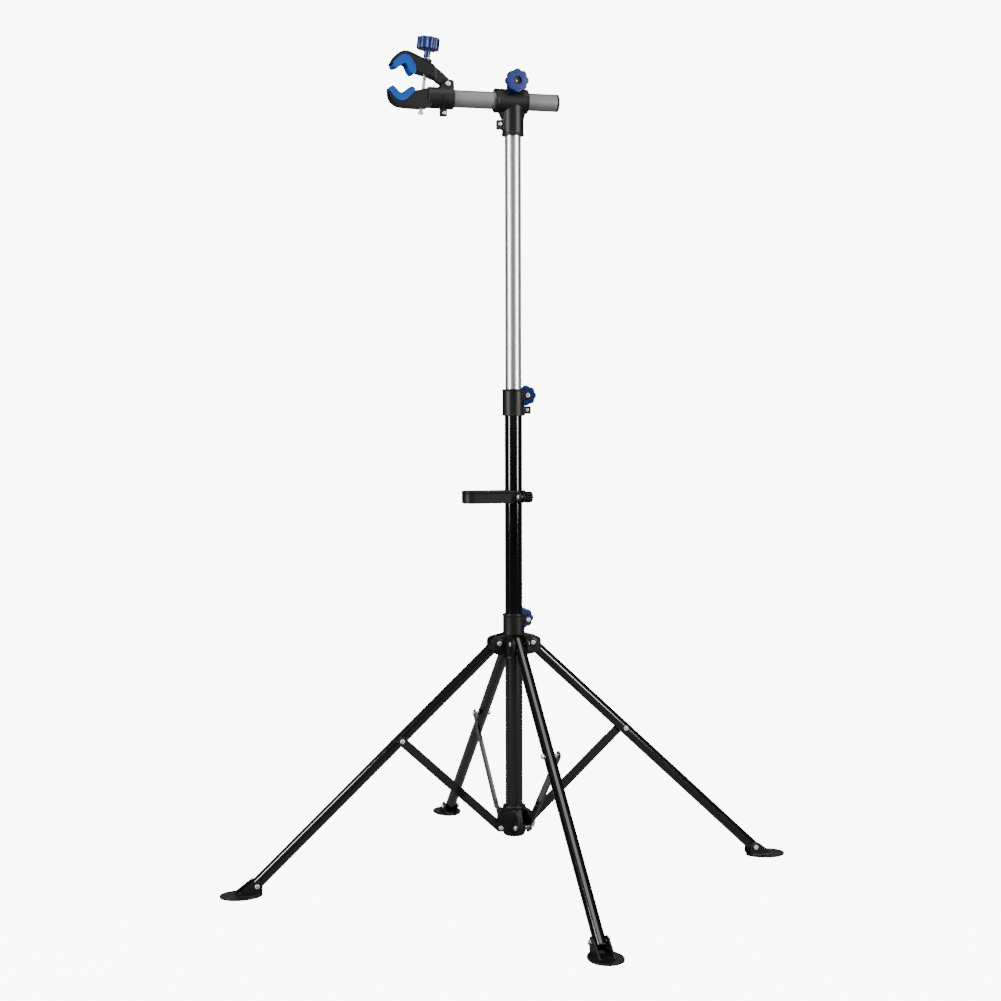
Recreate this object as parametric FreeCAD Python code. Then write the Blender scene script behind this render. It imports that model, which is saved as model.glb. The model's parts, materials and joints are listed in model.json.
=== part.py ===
"""Folding bike repair stand, in millimetres.

Origin on the mast axis at floor level, +Z up, clamp arm along -X, legs along +X, +Y, -X and -Y.
"""
import FreeCAD
import Part
import math
import os

V = FreeCAD.Vector
UP = V(0, 0, 1)
OUT = V(1, 0, 0)
SIDE = V(0, 1, 0)

# ---- fits -------------------------------------------------------------------
RUN = 0.05           # radial running clearance of a pin or sliding tube
GAP = 0.4            # clearance between faces of pieces that move past each other

# ---- mast -------------------------------------------------------------------
LOWER_R = 19.0       # lower mast tube, outer radius
LOWER_WALL = 1.2
LOWER_TOP = 1053.0
UPPER_R = LOWER_R - LOWER_WALL - 0.4     # upper mast tube, slides in the lower one
UPPER_WALL = 1.5
UPPER_LENGTH = 800.0
ARM_R = 18.5         # arm tube, outer radius
ARM_WALL = 1.5
ARM_Z = 1686.0       # arm axis above the floor
ARM_LEFT = -186.0
ARM_RIGHT = 96.0
CAP_LIP = 5.0
BUSH_LENGTH = 30.0

# ---- collars ----------------------------------------------------------------
COLLAR_R = LOWER_R + 5
MID_TOP = LOWER_TOP + 16
MID_BOTTOM = MID_TOP - 58
MID_TURN = -11.0     # direction of the mid collar's ears, degrees from +X
SLIT = 3.0           # slit between a pair of clamp ears
EAR_T = 6.0          # thickness of one clamp ear
EAR_R = 9.0          # outer radius of a clamp ear about its bolt
BOLT_OUT = COLLAR_R + 6.5      # clamp bolt axis from the tube axis
LUG_T = 4.5          # thickness of one small pinch lug
LUG_R = 6.5

# ---- fasteners --------------------------------------------------------------
BOLT_R = 3.0
PAN_R = 5.3
PAN_H = 3.4
NUT_AF = 10.0        # nut width across flats
NUT_H = 4.5
SCREW_R = 2.2
SCREW_HEAD_R = 4.0
SCREW_HEAD_H = 2.6

# ---- lobed knobs ------------------------------------------------------------
KNOB_R = 25.0
KNOB_SMALL_R = 22.5
KNOB_H = 17.0
KNOB_BOSS_R = 7.5
KNOB_BOSS_H = 10.0    # shortest boss between a knob's lobed body and its clamp ear
KNOB_GAP = 1.0       # from the ear to the knob's boss
KNOB_RECESS = 5.0
LOBES = 8
INSERT_R = 6.0

# ---- leg geometry -----------------------------------------------------------
PIVOT_R = LOWER_R + 19       # leg and brace pivots stand this far from the mast axis
FOOT_OUT = 570.0     # foot pivot from the mast axis
FOOT_PIVOT_Z = 23.0
LEG_SLOPE = 47.15    # leg angle from vertical, unfolded
LINK = 297.0         # hub pivot to brace pivot along the leg, and length of the brace
LEG_R = 12.5
LEG_WALL = 1.3
LEG_PAST_HUB = 8.0
LEG_PAST_FOOT = 10.5
PLUG_LENGTH = 22.0
PLUG_LIP = 2.3

# ---- braces -----------------------------------------------------------------
BRACE_OFF = LEG_R + 7.5      # middle of the bar from the leg's plane
BRACE_W = 20.0
BRACE_T = 3.0
RIB_FROM = 40.0        # a bar's edge ribs start this far from its bolts, clear of the hub's cheeks

# ---- leg hub ----------------------------------------------------------------
HUB_CORE_R = LOWER_R + 2.6
HUB_BELOW = 35.5     # from the leg pivots down to the hub's lower edge
HUB_ABOVE = 62.5     # from the leg pivots up to the hub's top
HUB_BOLT_BELOW = 14.0
CLEVIS_GAP = LEG_R + 0.8     # inner face of a clevis plate from the leg's plane
CLEVIS_T = 5.0
CLEVIS_OUT = PIVOT_R + 19

# ---- bottom hub -------------------------------------------------------------
BASE_BELOW = 23.5    # from the brace pivots down to the hub's underside
BASE_ABOVE = 44.5    # from the brace pivots up to the hub's rim
BASE_FLOOR = 6.0
BASE_LUG_SIDE = LEG_R + 0.5
BASE_LUG_BACK = -6.0
BASE_LUG_R = 9.5
BASE_CHEEK_T = 4.5     # plate of the bottom hub that covers the end of a brace

# ---- feet -------------------------------------------------------------------
PAD_T = 4.5
PAD_HEEL = 14.0
PAD_TOE = 77.0
PAD_HALF = 35.0
EAR_GAP = LEG_R + 0.7
FOOT_EAR_T = 4.0
PAD_HOLE_R = 3.0
PAD_HOLE_OUT = 60.0

# ---- tee fitting ------------------------------------------------------------
TEE_LEFT = -41.0
TEE_RIGHT = 31.0
TEE_R = ARM_R + 7
TEE_LEG_R = UPPER_R + 6
TEE_BOTTOM = ARM_Z - 74
TEE_BOLT_UP = ARM_R + 20.0   # clamp bolt above the arm axis
TEE_EAR_R = 11.0
TEE_EAR_T = 10.0
TEE_SCREW_Z = TEE_BOTTOM + 24
TEE_SCREW_X = -TEE_LEG_R - 6.5

# ---- tool tray --------------------------------------------------------------
TRAY_BOTTOM = 822.0
TRAY_H = 27.0
TRAY_END = -115.0
TRAY_HALF = LOWER_R + 5.5
TRAY_WALL = 4.0
TRAY_PLATE_T = 5.0
TRAY_PLATE_END = -68.0
TOOL_HOLE_R = 6.0
TRAY_EAR_T = 4.4
TRAY_EAR_X = 2.0
TRAY_SLIT = 4.0
TRAY_BOLT_Y = -TRAY_HALF - 7.5
THUMB_R = 12.3
THUMB_H = 16.0

# ---- clamp head -------------------------------------------------------------
HEAD_R = ARM_R + 4
HEAD_LEFT = ARM_LEFT - 2
HEAD_RIGHT = ARM_LEFT + 53
JAW_HALF = 17.0      # half width of the jaws
PAD_HALF_Y = 19.0    # half width of the rubber jaw pads
LIP = 5.5            # half thickness of the rubber pads
TONGUE_HALF = 8.5    # half width of the upper jaw's tongue between the head's ears
EYE_R = 6.2          # outer radius of the tongue's eye
HINGE_X = -147.0
HINGE_Z = ARM_Z + 28.6
NUT_X = -199.7
NUT_Z = ARM_Z - 2
SEAT_Z = ARM_Z + 82
SCREW_TILT = 6.65    # clamp screw leans this far from vertical, degrees
ROD_R = 4.0
BARREL_R = 8.0
BARREL_HALF = 12.0
DOME_R = 9.0
SWING_MIN = -10.6    # swing of the screw about the barrel nut from its place at rest, degrees
SWING_MAX = 3.2
LEAN_MIN = -2.5      # swing of the screw about its seat in the upper jaw, degrees
LEAN_MAX = 8.0
SLOT_HALF = 4.7
STEM_R = 7.0
STEM_H = 18.0
TOP_KNOB_R = 23.5
TOP_KNOB_H = 25.0
STOP_BELOW = 30.0    # stop nut below the barrel nut's axis

# outlines of the jaws, x from the mast axis and z from the arm's axis
LOWER_PAD = ((-271.0, 11.5), (-249.5, -6.7), (-226.5, 11.0))
UPPER_PAD = ((-265.5, 60.5), (-243.5, 76.5), (-225.5, 50.5))
LOWER_JAW = ((-180.0, 18), (-205, 16), (-219, 6), (-238, -11), (-249.5, -17), (-262, -8), (-276, 6),
             (-277, -9), (-267, -21), (-255, -24.5), (-180.0, -24.5))
UPPER_JAW = ((-174, 37.5), (-191, 45.5), (-212, 49.5), (-219, 58), (-226, 71), (-238, 82), (-247, 80),
             (-272, 61), (-271, 67), (-261, 82), (-246, 94), (-228, 93), (-198, 79), (-174, 64))

# ---- derived ----------------------------------------------------------------
SLOPE = math.radians(LEG_SLOPE)
HUB_PIVOT_Z = FOOT_PIVOT_Z + (FOOT_OUT - PIVOT_R) / math.tan(SLOPE)
LEG_LENGTH = (FOOT_OUT - PIVOT_R) / math.sin(SLOPE)
JOINT_OUT = PIVOT_R + LINK * math.sin(SLOPE)
JOINT_Z = HUB_PIVOT_Z - LINK * math.cos(SLOPE)
BASE_PIVOT_Z = JOINT_Z - LINK * math.cos(SLOPE)
HUB_BOTTOM = HUB_PIVOT_Z - HUB_BELOW
HUB_TOP = HUB_PIVOT_Z + HUB_ABOVE
HUB_BOLT_Z = HUB_TOP - HUB_BOLT_BELOW
BASE_BOTTOM = BASE_PIVOT_Z - BASE_BELOW
BASE_TOP = BASE_PIVOT_Z + BASE_ABOVE
ARM_FLOOR = ARM_Z - ARM_R - GAP
UPPER_TOP = ARM_FLOOR - 4.0
UPPER_BOTTOM = UPPER_TOP - UPPER_LENGTH
SCREW_LEAN = math.radians(SCREW_TILT)
SEAT_X = NUT_X + (SEAT_Z - NUT_Z) * math.tan(SCREW_LEAN)
SCREW_DIR = V(math.sin(SCREW_LEAN), 0, math.cos(SCREW_LEAN))
NUT_AT = V(NUT_X, 0, NUT_Z)
SEAT_AT = V(SEAT_X, 0, SEAT_Z)
SIDES = {"left": 180.0, "front": 270.0, "right": 0.0, "rear": 90.0}


# ---- helpers ----------------------------------------------------------------
def cylinder(radius, start, direction, length):
    return Part.makeCylinder(radius, length, start, direction)


def pipe(outer, inner, start, direction, length):
    return cylinder(outer, start, direction, length).cut(cylinder(inner, start, direction, length))


def box(low, high):
    return Part.makeBox(high[0] - low[0], high[1] - low[1], high[2] - low[2], V(*low))


def fuse(first, *others):
    joined = first.multiFuse(list(others))
    return joined.removeSplitter()


def outline_xz(points, y, fillets=None):
    """Closed outline of (x, z) points at a given y; fillets maps a point's number to its radius."""
    corners = [V(x, y, z) for x, z in points]
    edges = []
    starts = []
    for number, corner in enumerate(corners):
        radius = (fillets or {}).get(number, 0.0)
        before = (corners[number - 1] - corner).normalize()
        after = (corners[(number + 1) % len(corners)] - corner).normalize()
        if radius == 0.0:
            starts.append((corner, None, corner))
            continue
        half = before.getAngle(after) / 2
        back = radius / math.tan(half)
        middle = corner + (before + after).normalize() * (radius / math.sin(half) - radius)
        starts.append((corner + before * back, middle, corner + after * back))
    for number, (first, middle, last) in enumerate(starts):
        if middle is not None:
            edges.append(Part.Arc(first, middle, last).toShape())
        following = starts[(number + 1) % len(starts)][0]
        if last.distanceToPoint(following) > 1e-6:
            edges.append(Part.LineSegment(last, following).toShape())
    return Part.Wire(edges)


def plate_xz(points, y_low, y_high, fillets=None):
    """Plate with an (x, z) outline, from y_low to y_high."""
    face = Part.Face(outline_xz(points, y_low, fillets))
    return face.extrude(V(0, y_high - y_low, 0))


def turned(shape, degrees):
    copy = shape.copy()
    copy.rotate(V(0, 0, 0), UP, degrees)
    return copy


def hexagon(across_flats, start, direction, length):
    """Hexagonal prism from start along direction."""
    radius = across_flats / math.sqrt(3)
    corners = []
    for number in range(7):
        angle = math.radians(60 * number)
        corners.append(V(radius * math.cos(angle), radius * math.sin(angle), 0))
    prism = Part.Face(Part.makePolygon(corners)).extrude(V(0, 0, length))
    prism.Placement = FreeCAD.Placement(start, FreeCAD.Rotation(UP, direction))
    return prism


def pan_head(radius, height, start, direction):
    """Screw head with a domed edge and a cross recess, growing from start along direction."""
    head = cylinder(radius, start, direction, height)
    rim = [edge for edge in head.Edges
           if edge.Closed and edge.CenterOfMass.distanceToPoint(start + direction * height) < 0.01]
    head = head.makeFillet(height * 0.55, rim)
    arm = radius * 0.55
    wide = radius * 0.13
    cross = fuse(Part.makeBox(2 * arm, 2 * wide, height, V(-arm, -wide, 0)),
                 Part.makeBox(2 * wide, 2 * arm, height, V(-wide, -arm, 0)))
    cross.Placement = FreeCAD.Placement(start + direction * (height * 0.55),
                                        FreeCAD.Rotation(UP, direction))
    return head.cut(cross)


def bolt(start, direction, grip, radius=BOLT_R, head_r=PAN_R, head_h=PAN_H, past=1.5, nut_h=NUT_H):
    """Bolt whose head sits at start and whose shank passes through grip to a nut and a little more."""
    shank = cylinder(radius, start, direction, grip + nut_h + past)
    return fuse(pan_head(head_r, head_h, start, direction * -1), shank)


def nut(start, direction, radius=BOLT_R, across=NUT_AF, height=NUT_H):
    """Plain hexagon nut growing from start along direction."""
    return hexagon(across, start, direction, height).cut(cylinder(radius, start, direction, height))


def washer(start, direction, radius, height, hole=BOLT_R):
    return pipe(radius, hole, start, direction, height)


def lobed_profile(radius, z):
    """Closed outline of a hand knob: rounded lobes with shallow valleys between them."""
    flank = radius * 0.92
    valley = radius * 0.80
    step = 2 * math.pi / LOBES

    def at(distance, angle):
        return V(distance * math.cos(angle), distance * math.sin(angle), z)

    edges = []
    for lobe in range(LOBES):
        peak = lobe * step
        left = at(flank, peak + step * 0.27)
        edges.append(Part.Arc(at(flank, peak - step * 0.27), at(radius, peak), left).toShape())
        following = at(flank, peak + step * 0.73)
        edges.append(Part.Arc(left, at(valley, peak + step / 2), following).toShape())
    return Part.Wire(edges)


def knob(start, direction, radius, boss):
    """Lobed hand knob: boss at start, then the lobed body, with a recess in its outer face."""
    body = Part.Face(lobed_profile(radius, boss)).extrude(V(0, 0, KNOB_H))
    shape = fuse(body, Part.makeCylinder(KNOB_BOSS_R, boss + 1))
    top = boss + KNOB_H
    inside = fuse(Part.makeCylinder(INSERT_R, top),
                  Part.makeCylinder(INSERT_R + 2, KNOB_RECESS, V(0, 0, top - KNOB_RECESS)))
    shape = shape.cut(inside)
    shape.Placement = FreeCAD.Placement(start, FreeCAD.Rotation(UP, direction))
    return shape


def insert(start, direction, boss):
    """Threaded brass insert moulded into a knob, flush with the floor of the knob's recess."""
    return pipe(INSERT_R, BOLT_R + RUN, start, direction, boss + KNOB_H - KNOB_RECESS)


def ear_pair(reach, z, radius, thick, inner):
    """Two clamp ears pointing along +X, either side of the slit, rounded about a bolt along Y."""
    half = SLIT / 2
    blocks = []
    for low in (-half - thick, half):
        plate = box((inner, low, z - radius), (reach, low + thick, z + radius))
        blocks.append(fuse(plate, cylinder(radius, V(reach, low, z), SIDE, thick)))
    return blocks


def ear_bore(reach, z, radius):
    return cylinder(radius, V(reach, -40, z), SIDE, 80)


def slit_cut(z_low, z_high, inner, outer):
    return box((inner, -SLIT / 2, z_low), (outer, SLIT / 2, z_high))


# ---- mast -------------------------------------------------------------------
def lower_mast_tube():
    bottom = BASE_BOTTOM + BASE_FLOOR
    return pipe(LOWER_R, LOWER_R - LOWER_WALL, V(0, 0, bottom), UP, LOWER_TOP - bottom)


def upper_mast_tube():
    return pipe(UPPER_R, UPPER_R - UPPER_WALL, V(0, 0, UPPER_BOTTOM), UP, UPPER_LENGTH)


def slide_bush():
    """Plastic bush on the lower end of the upper tube; its collar guides the tube in the lower one."""
    flange = pipe(LOWER_R - LOWER_WALL - 0.1, 10, V(0, 0, UPPER_BOTTOM - 8), UP, 8)
    spigot = pipe(UPPER_R - UPPER_WALL, 10, V(0, 0, UPPER_BOTTOM), UP, BUSH_LENGTH - 8)
    return fuse(flange, spigot)


def mid_ear_z():
    return MID_TOP - EAR_R - 5


def mid_lug_z():
    return MID_BOTTOM + LUG_R + 6


def mid_collar():
    """Split collar: lower bore on the black tube, upper bore guides the silver tube."""
    height = MID_TOP - MID_BOTTOM
    body = cylinder(COLLAR_R, V(0, 0, MID_BOTTOM), UP, height)
    lug_out = COLLAR_R + LUG_R - 1
    pieces = ear_pair(BOLT_OUT, mid_ear_z(), EAR_R, EAR_T, LOWER_R)
    pieces += ear_pair(lug_out, mid_lug_z(), LUG_R, LUG_T, LOWER_R)
    body = fuse(body, *pieces)
    body = body.cut(cylinder(LOWER_R, V(0, 0, MID_BOTTOM), UP, LOWER_TOP - MID_BOTTOM))
    body = body.cut(cylinder(UPPER_R + RUN, V(0, 0, MID_BOTTOM), UP, height))
    body = body.cut(slit_cut(MID_BOTTOM, MID_TOP, 0, BOLT_OUT + EAR_R + 1))
    body = body.cut(ear_bore(BOLT_OUT, mid_ear_z(), BOLT_R))
    body = body.cut(ear_bore(lug_out, mid_lug_z(), SCREW_R))
    return turned(body, MID_TURN)


def clamp_bolt(reach, z, half, boss):
    """Clamp bolt along Y: pan head on the -Y ear, shank through both ears into the knob."""
    length = 2 * half + KNOB_GAP + boss + KNOB_H - KNOB_RECESS - 3
    shank = cylinder(BOLT_R, V(reach, -half, z), SIDE, length)
    return fuse(pan_head(PAN_R, PAN_H, V(reach, -half, z), SIDE * -1), shank)


def pinch_screw(reach, z, half):
    """Small screw along Y with its nut, through a pair of pinch lugs: two solids."""
    screw = bolt(V(reach, -half, z), SIDE, 2 * half, SCREW_R, SCREW_HEAD_R, SCREW_HEAD_H, 1.0, 3.2)
    return Part.makeCompound([screw, nut(V(reach, half, z), SIDE, SCREW_R, 7.0, 3.2)])


def ear_half():
    return SLIT / 2 + EAR_T


def side_boss():
    """Boss of a side knob, long enough for its lobes to clear the collar as it turns."""
    return max(KNOB_BOSS_H, COLLAR_R + GAP - ear_half() - KNOB_GAP)


def mid_clamp_bolt():
    return turned(clamp_bolt(BOLT_OUT, mid_ear_z(), ear_half(), side_boss()), MID_TURN)


def mid_pinch_screw():
    return turned(pinch_screw(COLLAR_R + LUG_R - 1, mid_lug_z(), SLIT / 2 + LUG_T), MID_TURN)


def mid_knob_start():
    return V(BOLT_OUT, ear_half() + KNOB_GAP, mid_ear_z())


def mid_knob():
    return turned(knob(mid_knob_start(), SIDE, KNOB_SMALL_R, side_boss()), MID_TURN)


def mid_knob_insert():
    return turned(insert(mid_knob_start(), SIDE, side_boss()), MID_TURN)


# ---- base -------------------------------------------------------------------
def bottom_hub():
    """Closed cup on the mast's foot; each brace turns between a lug and a thinner outer cheek."""
    height = BASE_TOP - BASE_BOTTOM
    body = cylinder(COLLAR_R, V(0, 0, BASE_BOTTOM), UP, height)
    rim = [edge for edge in body.Edges if edge.Closed and edge.CenterOfMass.z < BASE_BOTTOM + 1]
    body = body.makeFillet(6, rim)
    body = fuse(body, cylinder(COLLAR_R + 1.5, V(0, 0, BASE_TOP - 8), UP, 6))
    lug = fuse(box((LOWER_R + 1, BASE_LUG_BACK, BASE_PIVOT_Z - BASE_LUG_R),
                   (PIVOT_R, BASE_LUG_SIDE, BASE_PIVOT_Z + BASE_LUG_R)),
               cylinder(BASE_LUG_R, V(PIVOT_R, BASE_LUG_BACK, BASE_PIVOT_Z), SIDE,
                        BASE_LUG_SIDE - BASE_LUG_BACK),
               plate_xz([(LOWER_R + 1, BASE_TOP - 10), (COLLAR_R + 1, BASE_TOP - 10),
                         (PIVOT_R + BASE_LUG_R, BASE_PIVOT_Z), (LOWER_R + 1, BASE_PIVOT_Z)],
                        BASE_LUG_BACK + 4, BASE_LUG_SIDE - 4))
    edge = PIVOT_R + BASE_LUG_R
    cheek = plate_xz([(4, BASE_PIVOT_Z - 12), (PIVOT_R - 5, BASE_PIVOT_Z - BASE_LUG_R),
                      (edge - 3, BASE_PIVOT_Z - BASE_LUG_R + 3), (edge, BASE_PIVOT_Z - 2),
                      (edge, BASE_PIVOT_Z + 24), (COLLAR_R + 4, BASE_TOP - 10), (4, BASE_TOP - 10)],
                     brace_outer() + GAP, brace_outer() + GAP + BASE_CHEEK_T)
    lug = fuse(lug, cheek)
    lug = lug.cut(cylinder(BOLT_R, V(PIVOT_R, -30, BASE_PIVOT_Z), SIDE, 60))
    body = fuse(body, *[turned(lug, angle) for angle in SIDES.values()])
    floor = BASE_BOTTOM + BASE_FLOOR
    return body.cut(cylinder(LOWER_R, V(0, 0, floor), UP, height))


def brace_outer():
    return BRACE_OFF + BRACE_T / 2


def brace_inner():
    return BRACE_OFF - BRACE_T / 2


def brace_bolt_set():
    """Four bolts through the cheeks and lugs, each with a spacer before the bar and a nut behind the lug."""
    pieces = []
    for angle in SIDES.values():
        face = brace_outer() + GAP + BASE_CHEEK_T
        start = V(PIVOT_R, face, BASE_PIVOT_Z)
        grip = face - BASE_LUG_BACK
        spacer = washer(V(PIVOT_R, BASE_LUG_SIDE, BASE_PIVOT_Z), SIDE, 5.0,
                        brace_inner() - GAP - BASE_LUG_SIDE)
        back = nut(V(PIVOT_R, BASE_LUG_BACK, BASE_PIVOT_Z), SIDE * -1)
        for piece in (bolt(start, SIDE * -1, grip), spacer, back):
            pieces.append(turned(piece, angle))
    return Part.makeCompound(pieces)


def leg_hub():
    """Sliding hub: split collar on top, four clevises below for the legs."""
    body = cylinder(HUB_CORE_R, V(0, 0, HUB_BOTTOM), UP, HUB_TOP - HUB_BOTTOM)
    collar_bottom = HUB_PIVOT_Z + LEG_R + 4
    body = fuse(body, cylinder(COLLAR_R, V(0, 0, collar_bottom), UP, HUB_TOP - collar_bottom),
                *ear_pair(BOLT_OUT, HUB_BOLT_Z, EAR_R, EAR_T, LOWER_R))
    low = HUB_PIVOT_Z - 22
    profile = [(8, collar_bottom + 3), (HUB_CORE_R + 2, collar_bottom + 3),
               (CLEVIS_OUT, HUB_PIVOT_Z + 11), (CLEVIS_OUT, low), (8, low - 8)]
    plates = []
    for angle in SIDES.values():
        for inner in (CLEVIS_GAP, -CLEVIS_GAP - CLEVIS_T):
            plate = plate_xz(profile, inner, inner + CLEVIS_T, {2: 10, 3: 12})
            plate = plate.cut(cylinder(BOLT_R, V(PIVOT_R, -40, HUB_PIVOT_Z), SIDE, 80))
            plates.append(turned(plate, angle))
    body = fuse(body, *plates)
    body = body.cut(cylinder(LOWER_R + RUN, V(0, 0, HUB_BOTTOM - 20), UP, 200))
    body = body.cut(slit_cut(collar_bottom, HUB_TOP, 0, BOLT_OUT + EAR_R + 1))
    for angle in SIDES.values():
        slot = box((HUB_CORE_R, -CLEVIS_GAP, HUB_BOTTOM - 20), (80, CLEVIS_GAP, collar_bottom))
        body = body.cut(turned(slot, angle))
    return body.cut(ear_bore(BOLT_OUT, HUB_BOLT_Z, BOLT_R))


def clevis_outer():
    return CLEVIS_GAP + CLEVIS_T


def leg_pivot_bolts():
    """One bolt and nut through each clevis; heads face -Y on the X legs and -X on the Y legs."""
    pieces = []
    for name, angle in SIDES.items():
        toward = 1 if name in ("left", "rear") else -1
        head = V(PIVOT_R, toward * clevis_outer(), HUB_PIVOT_Z)
        tail = V(PIVOT_R, -toward * clevis_outer(), HUB_PIVOT_Z)
        pieces.append(turned(bolt(head, SIDE * -toward, 2 * clevis_outer()), angle))
        pieces.append(turned(nut(tail, SIDE * -toward), angle))
    return Part.makeCompound(pieces)


def hub_clamp_bolt():
    return clamp_bolt(BOLT_OUT, HUB_BOLT_Z, ear_half(), side_boss())


def hub_knob_start():
    return V(BOLT_OUT, ear_half() + KNOB_GAP, HUB_BOLT_Z)


def hub_knob():
    return knob(hub_knob_start(), SIDE, KNOB_SMALL_R, side_boss())


def hub_knob_insert():
    return insert(hub_knob_start(), SIDE, side_boss())


# ---- legs, braces, feet (all made on the +X side, then turned) ---------------
def leg_point(along):
    """Point on the leg's axis, measured from the hub pivot towards the foot."""
    return V(PIVOT_R + along * math.sin(SLOPE), 0, HUB_PIVOT_Z - along * math.cos(SLOPE))


def leg_down():
    return V(math.sin(SLOPE), 0, -math.cos(SLOPE))


def leg_tube():
    length = LEG_LENGTH + LEG_PAST_HUB + LEG_PAST_FOOT
    tube = pipe(LEG_R, LEG_R - LEG_WALL, leg_point(-LEG_PAST_HUB), leg_down(), length)
    for along, radius in ((0, BOLT_R + RUN), (LINK, BOLT_R), (LEG_LENGTH, BOLT_R)):
        tube = tube.cut(cylinder(radius, leg_point(along) - SIDE * 20, SIDE, 40))
    return tube


def leg_plug():
    """Plastic plug in the foot end, with a domed outer end and a hole for the foot bolt."""
    end = leg_point(LEG_LENGTH + LEG_PAST_FOOT)
    core = cylinder(LEG_R - LEG_WALL, end - leg_down() * PLUG_LENGTH, leg_down(), PLUG_LENGTH)
    lip = cylinder(LEG_R, end, leg_down(), PLUG_LIP)
    rim = [edge for edge in lip.Edges if edge.Closed and edge.CenterOfMass.distanceToPoint(end) > 2]
    plug = fuse(core, lip.makeFillet(1.8, rim))
    return plug.cut(cylinder(BOLT_R, leg_point(LEG_LENGTH) - SIDE * 20, SIDE, 40))


def foot_ear_outer():
    return EAR_GAP + FOOT_EAR_T


def leg_bolts():
    """Brace bolt with spacer and nut, and foot bolt with nut, all carried by the leg."""
    joint = V(JOINT_OUT, 0, JOINT_Z)
    foot = V(FOOT_OUT, 0, FOOT_PIVOT_Z)
    pieces = [bolt(joint + SIDE * (brace_outer() + GAP), SIDE * -1, brace_outer() + GAP + LEG_R),
              nut(joint - SIDE * LEG_R, SIDE * -1),
              washer(joint + SIDE * LEG_R, SIDE, 5.0, brace_inner() - GAP - LEG_R),
              bolt(foot + SIDE * (foot_ear_outer() + GAP), SIDE * -1, 2 * (foot_ear_outer() + GAP)),
              nut(foot - SIDE * (foot_ear_outer() + GAP), SIDE * -1)]
    spacer_hole = cylinder(LEG_R, leg_point(-LEG_PAST_HUB), leg_down(), LEG_LENGTH)
    pieces[2] = pieces[2].cut(spacer_hole)
    return Part.makeCompound(pieces)


def brace_bar():
    """Flat bar with round ends, from the bottom hub up to the leg."""
    half = BRACE_W / 2
    low = brace_inner()
    bar = fuse(box((0, low, -half), (LINK, low + BRACE_T, half)),
               cylinder(half, V(0, low, 0), SIDE, BRACE_T),
               cylinder(half, V(LINK, low, 0), SIDE, BRACE_T))
    rib = box((RIB_FROM, low + BRACE_T, -half), (LINK - RIB_FROM, low + BRACE_T + 2.5, -half + 1.5))
    other = box((RIB_FROM, low + BRACE_T, half - 1.5), (LINK - RIB_FROM, low + BRACE_T + 2.5, half))
    bar = fuse(bar, rib, other)
    for end in (0, LINK):
        bar = bar.cut(cylinder(BOLT_R + RUN, V(end, low - 5, 0), SIDE, BRACE_T + 15))
    bar.rotate(V(0, 0, 0), SIDE, LEG_SLOPE - 90)
    bar.translate(V(PIVOT_R, 0, BASE_PIVOT_Z))
    return bar


def foot():
    """Oval pad with two gusset ears that straddle the leg's end."""
    heel = -PAD_HEEL

    def at(x, y):
        return V(FOOT_OUT + x, y, 0)

    side = PAD_HALF
    arcs = [(at(heel + 5, -24), at(heel, 0), at(heel + 5, 24)),
            (at(heel + 5, 24), at(12, side - 1.5), at(36, side)),
            (at(36, side), at(PAD_TOE - 12, side * 0.68), at(PAD_TOE, 0)),
            (at(PAD_TOE, 0), at(PAD_TOE - 12, -side * 0.68), at(36, -side)),
            (at(36, -side), at(12, 1.5 - side), at(heel + 5, -24))]
    rim = Part.Wire([Part.Arc(*points).toShape() for points in arcs])
    pad = Part.Face(rim).extrude(V(0, 0, PAD_T))
    top = [edge for edge in pad.Edges if abs(edge.BoundBox.ZMin - PAD_T) < 0.01]
    pad = pad.makeFillet(1.5, top)
    ears = []
    for low in (EAR_GAP, -EAR_GAP - FOOT_EAR_T):
        profile = [(FOOT_OUT + heel + 2, 1), (FOOT_OUT + heel + 2, FOOT_PIVOT_Z + 7),
                   (FOOT_OUT + 9, FOOT_PIVOT_Z + 17), (FOOT_OUT + 46, PAD_T), (FOOT_OUT + 46, 1)]
        ear = plate_xz(profile, low, low + FOOT_EAR_T, {1: 6, 2: 9})
        ears.append(ear.cut(cylinder(BOLT_R + RUN, V(FOOT_OUT, -30, FOOT_PIVOT_Z), SIDE, 60)))
    shape = fuse(pad, *ears)
    return shape.cut(cylinder(PAD_HOLE_R, V(FOOT_OUT + PAD_HOLE_OUT, 0, -1), UP, PAD_T + 2))


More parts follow.
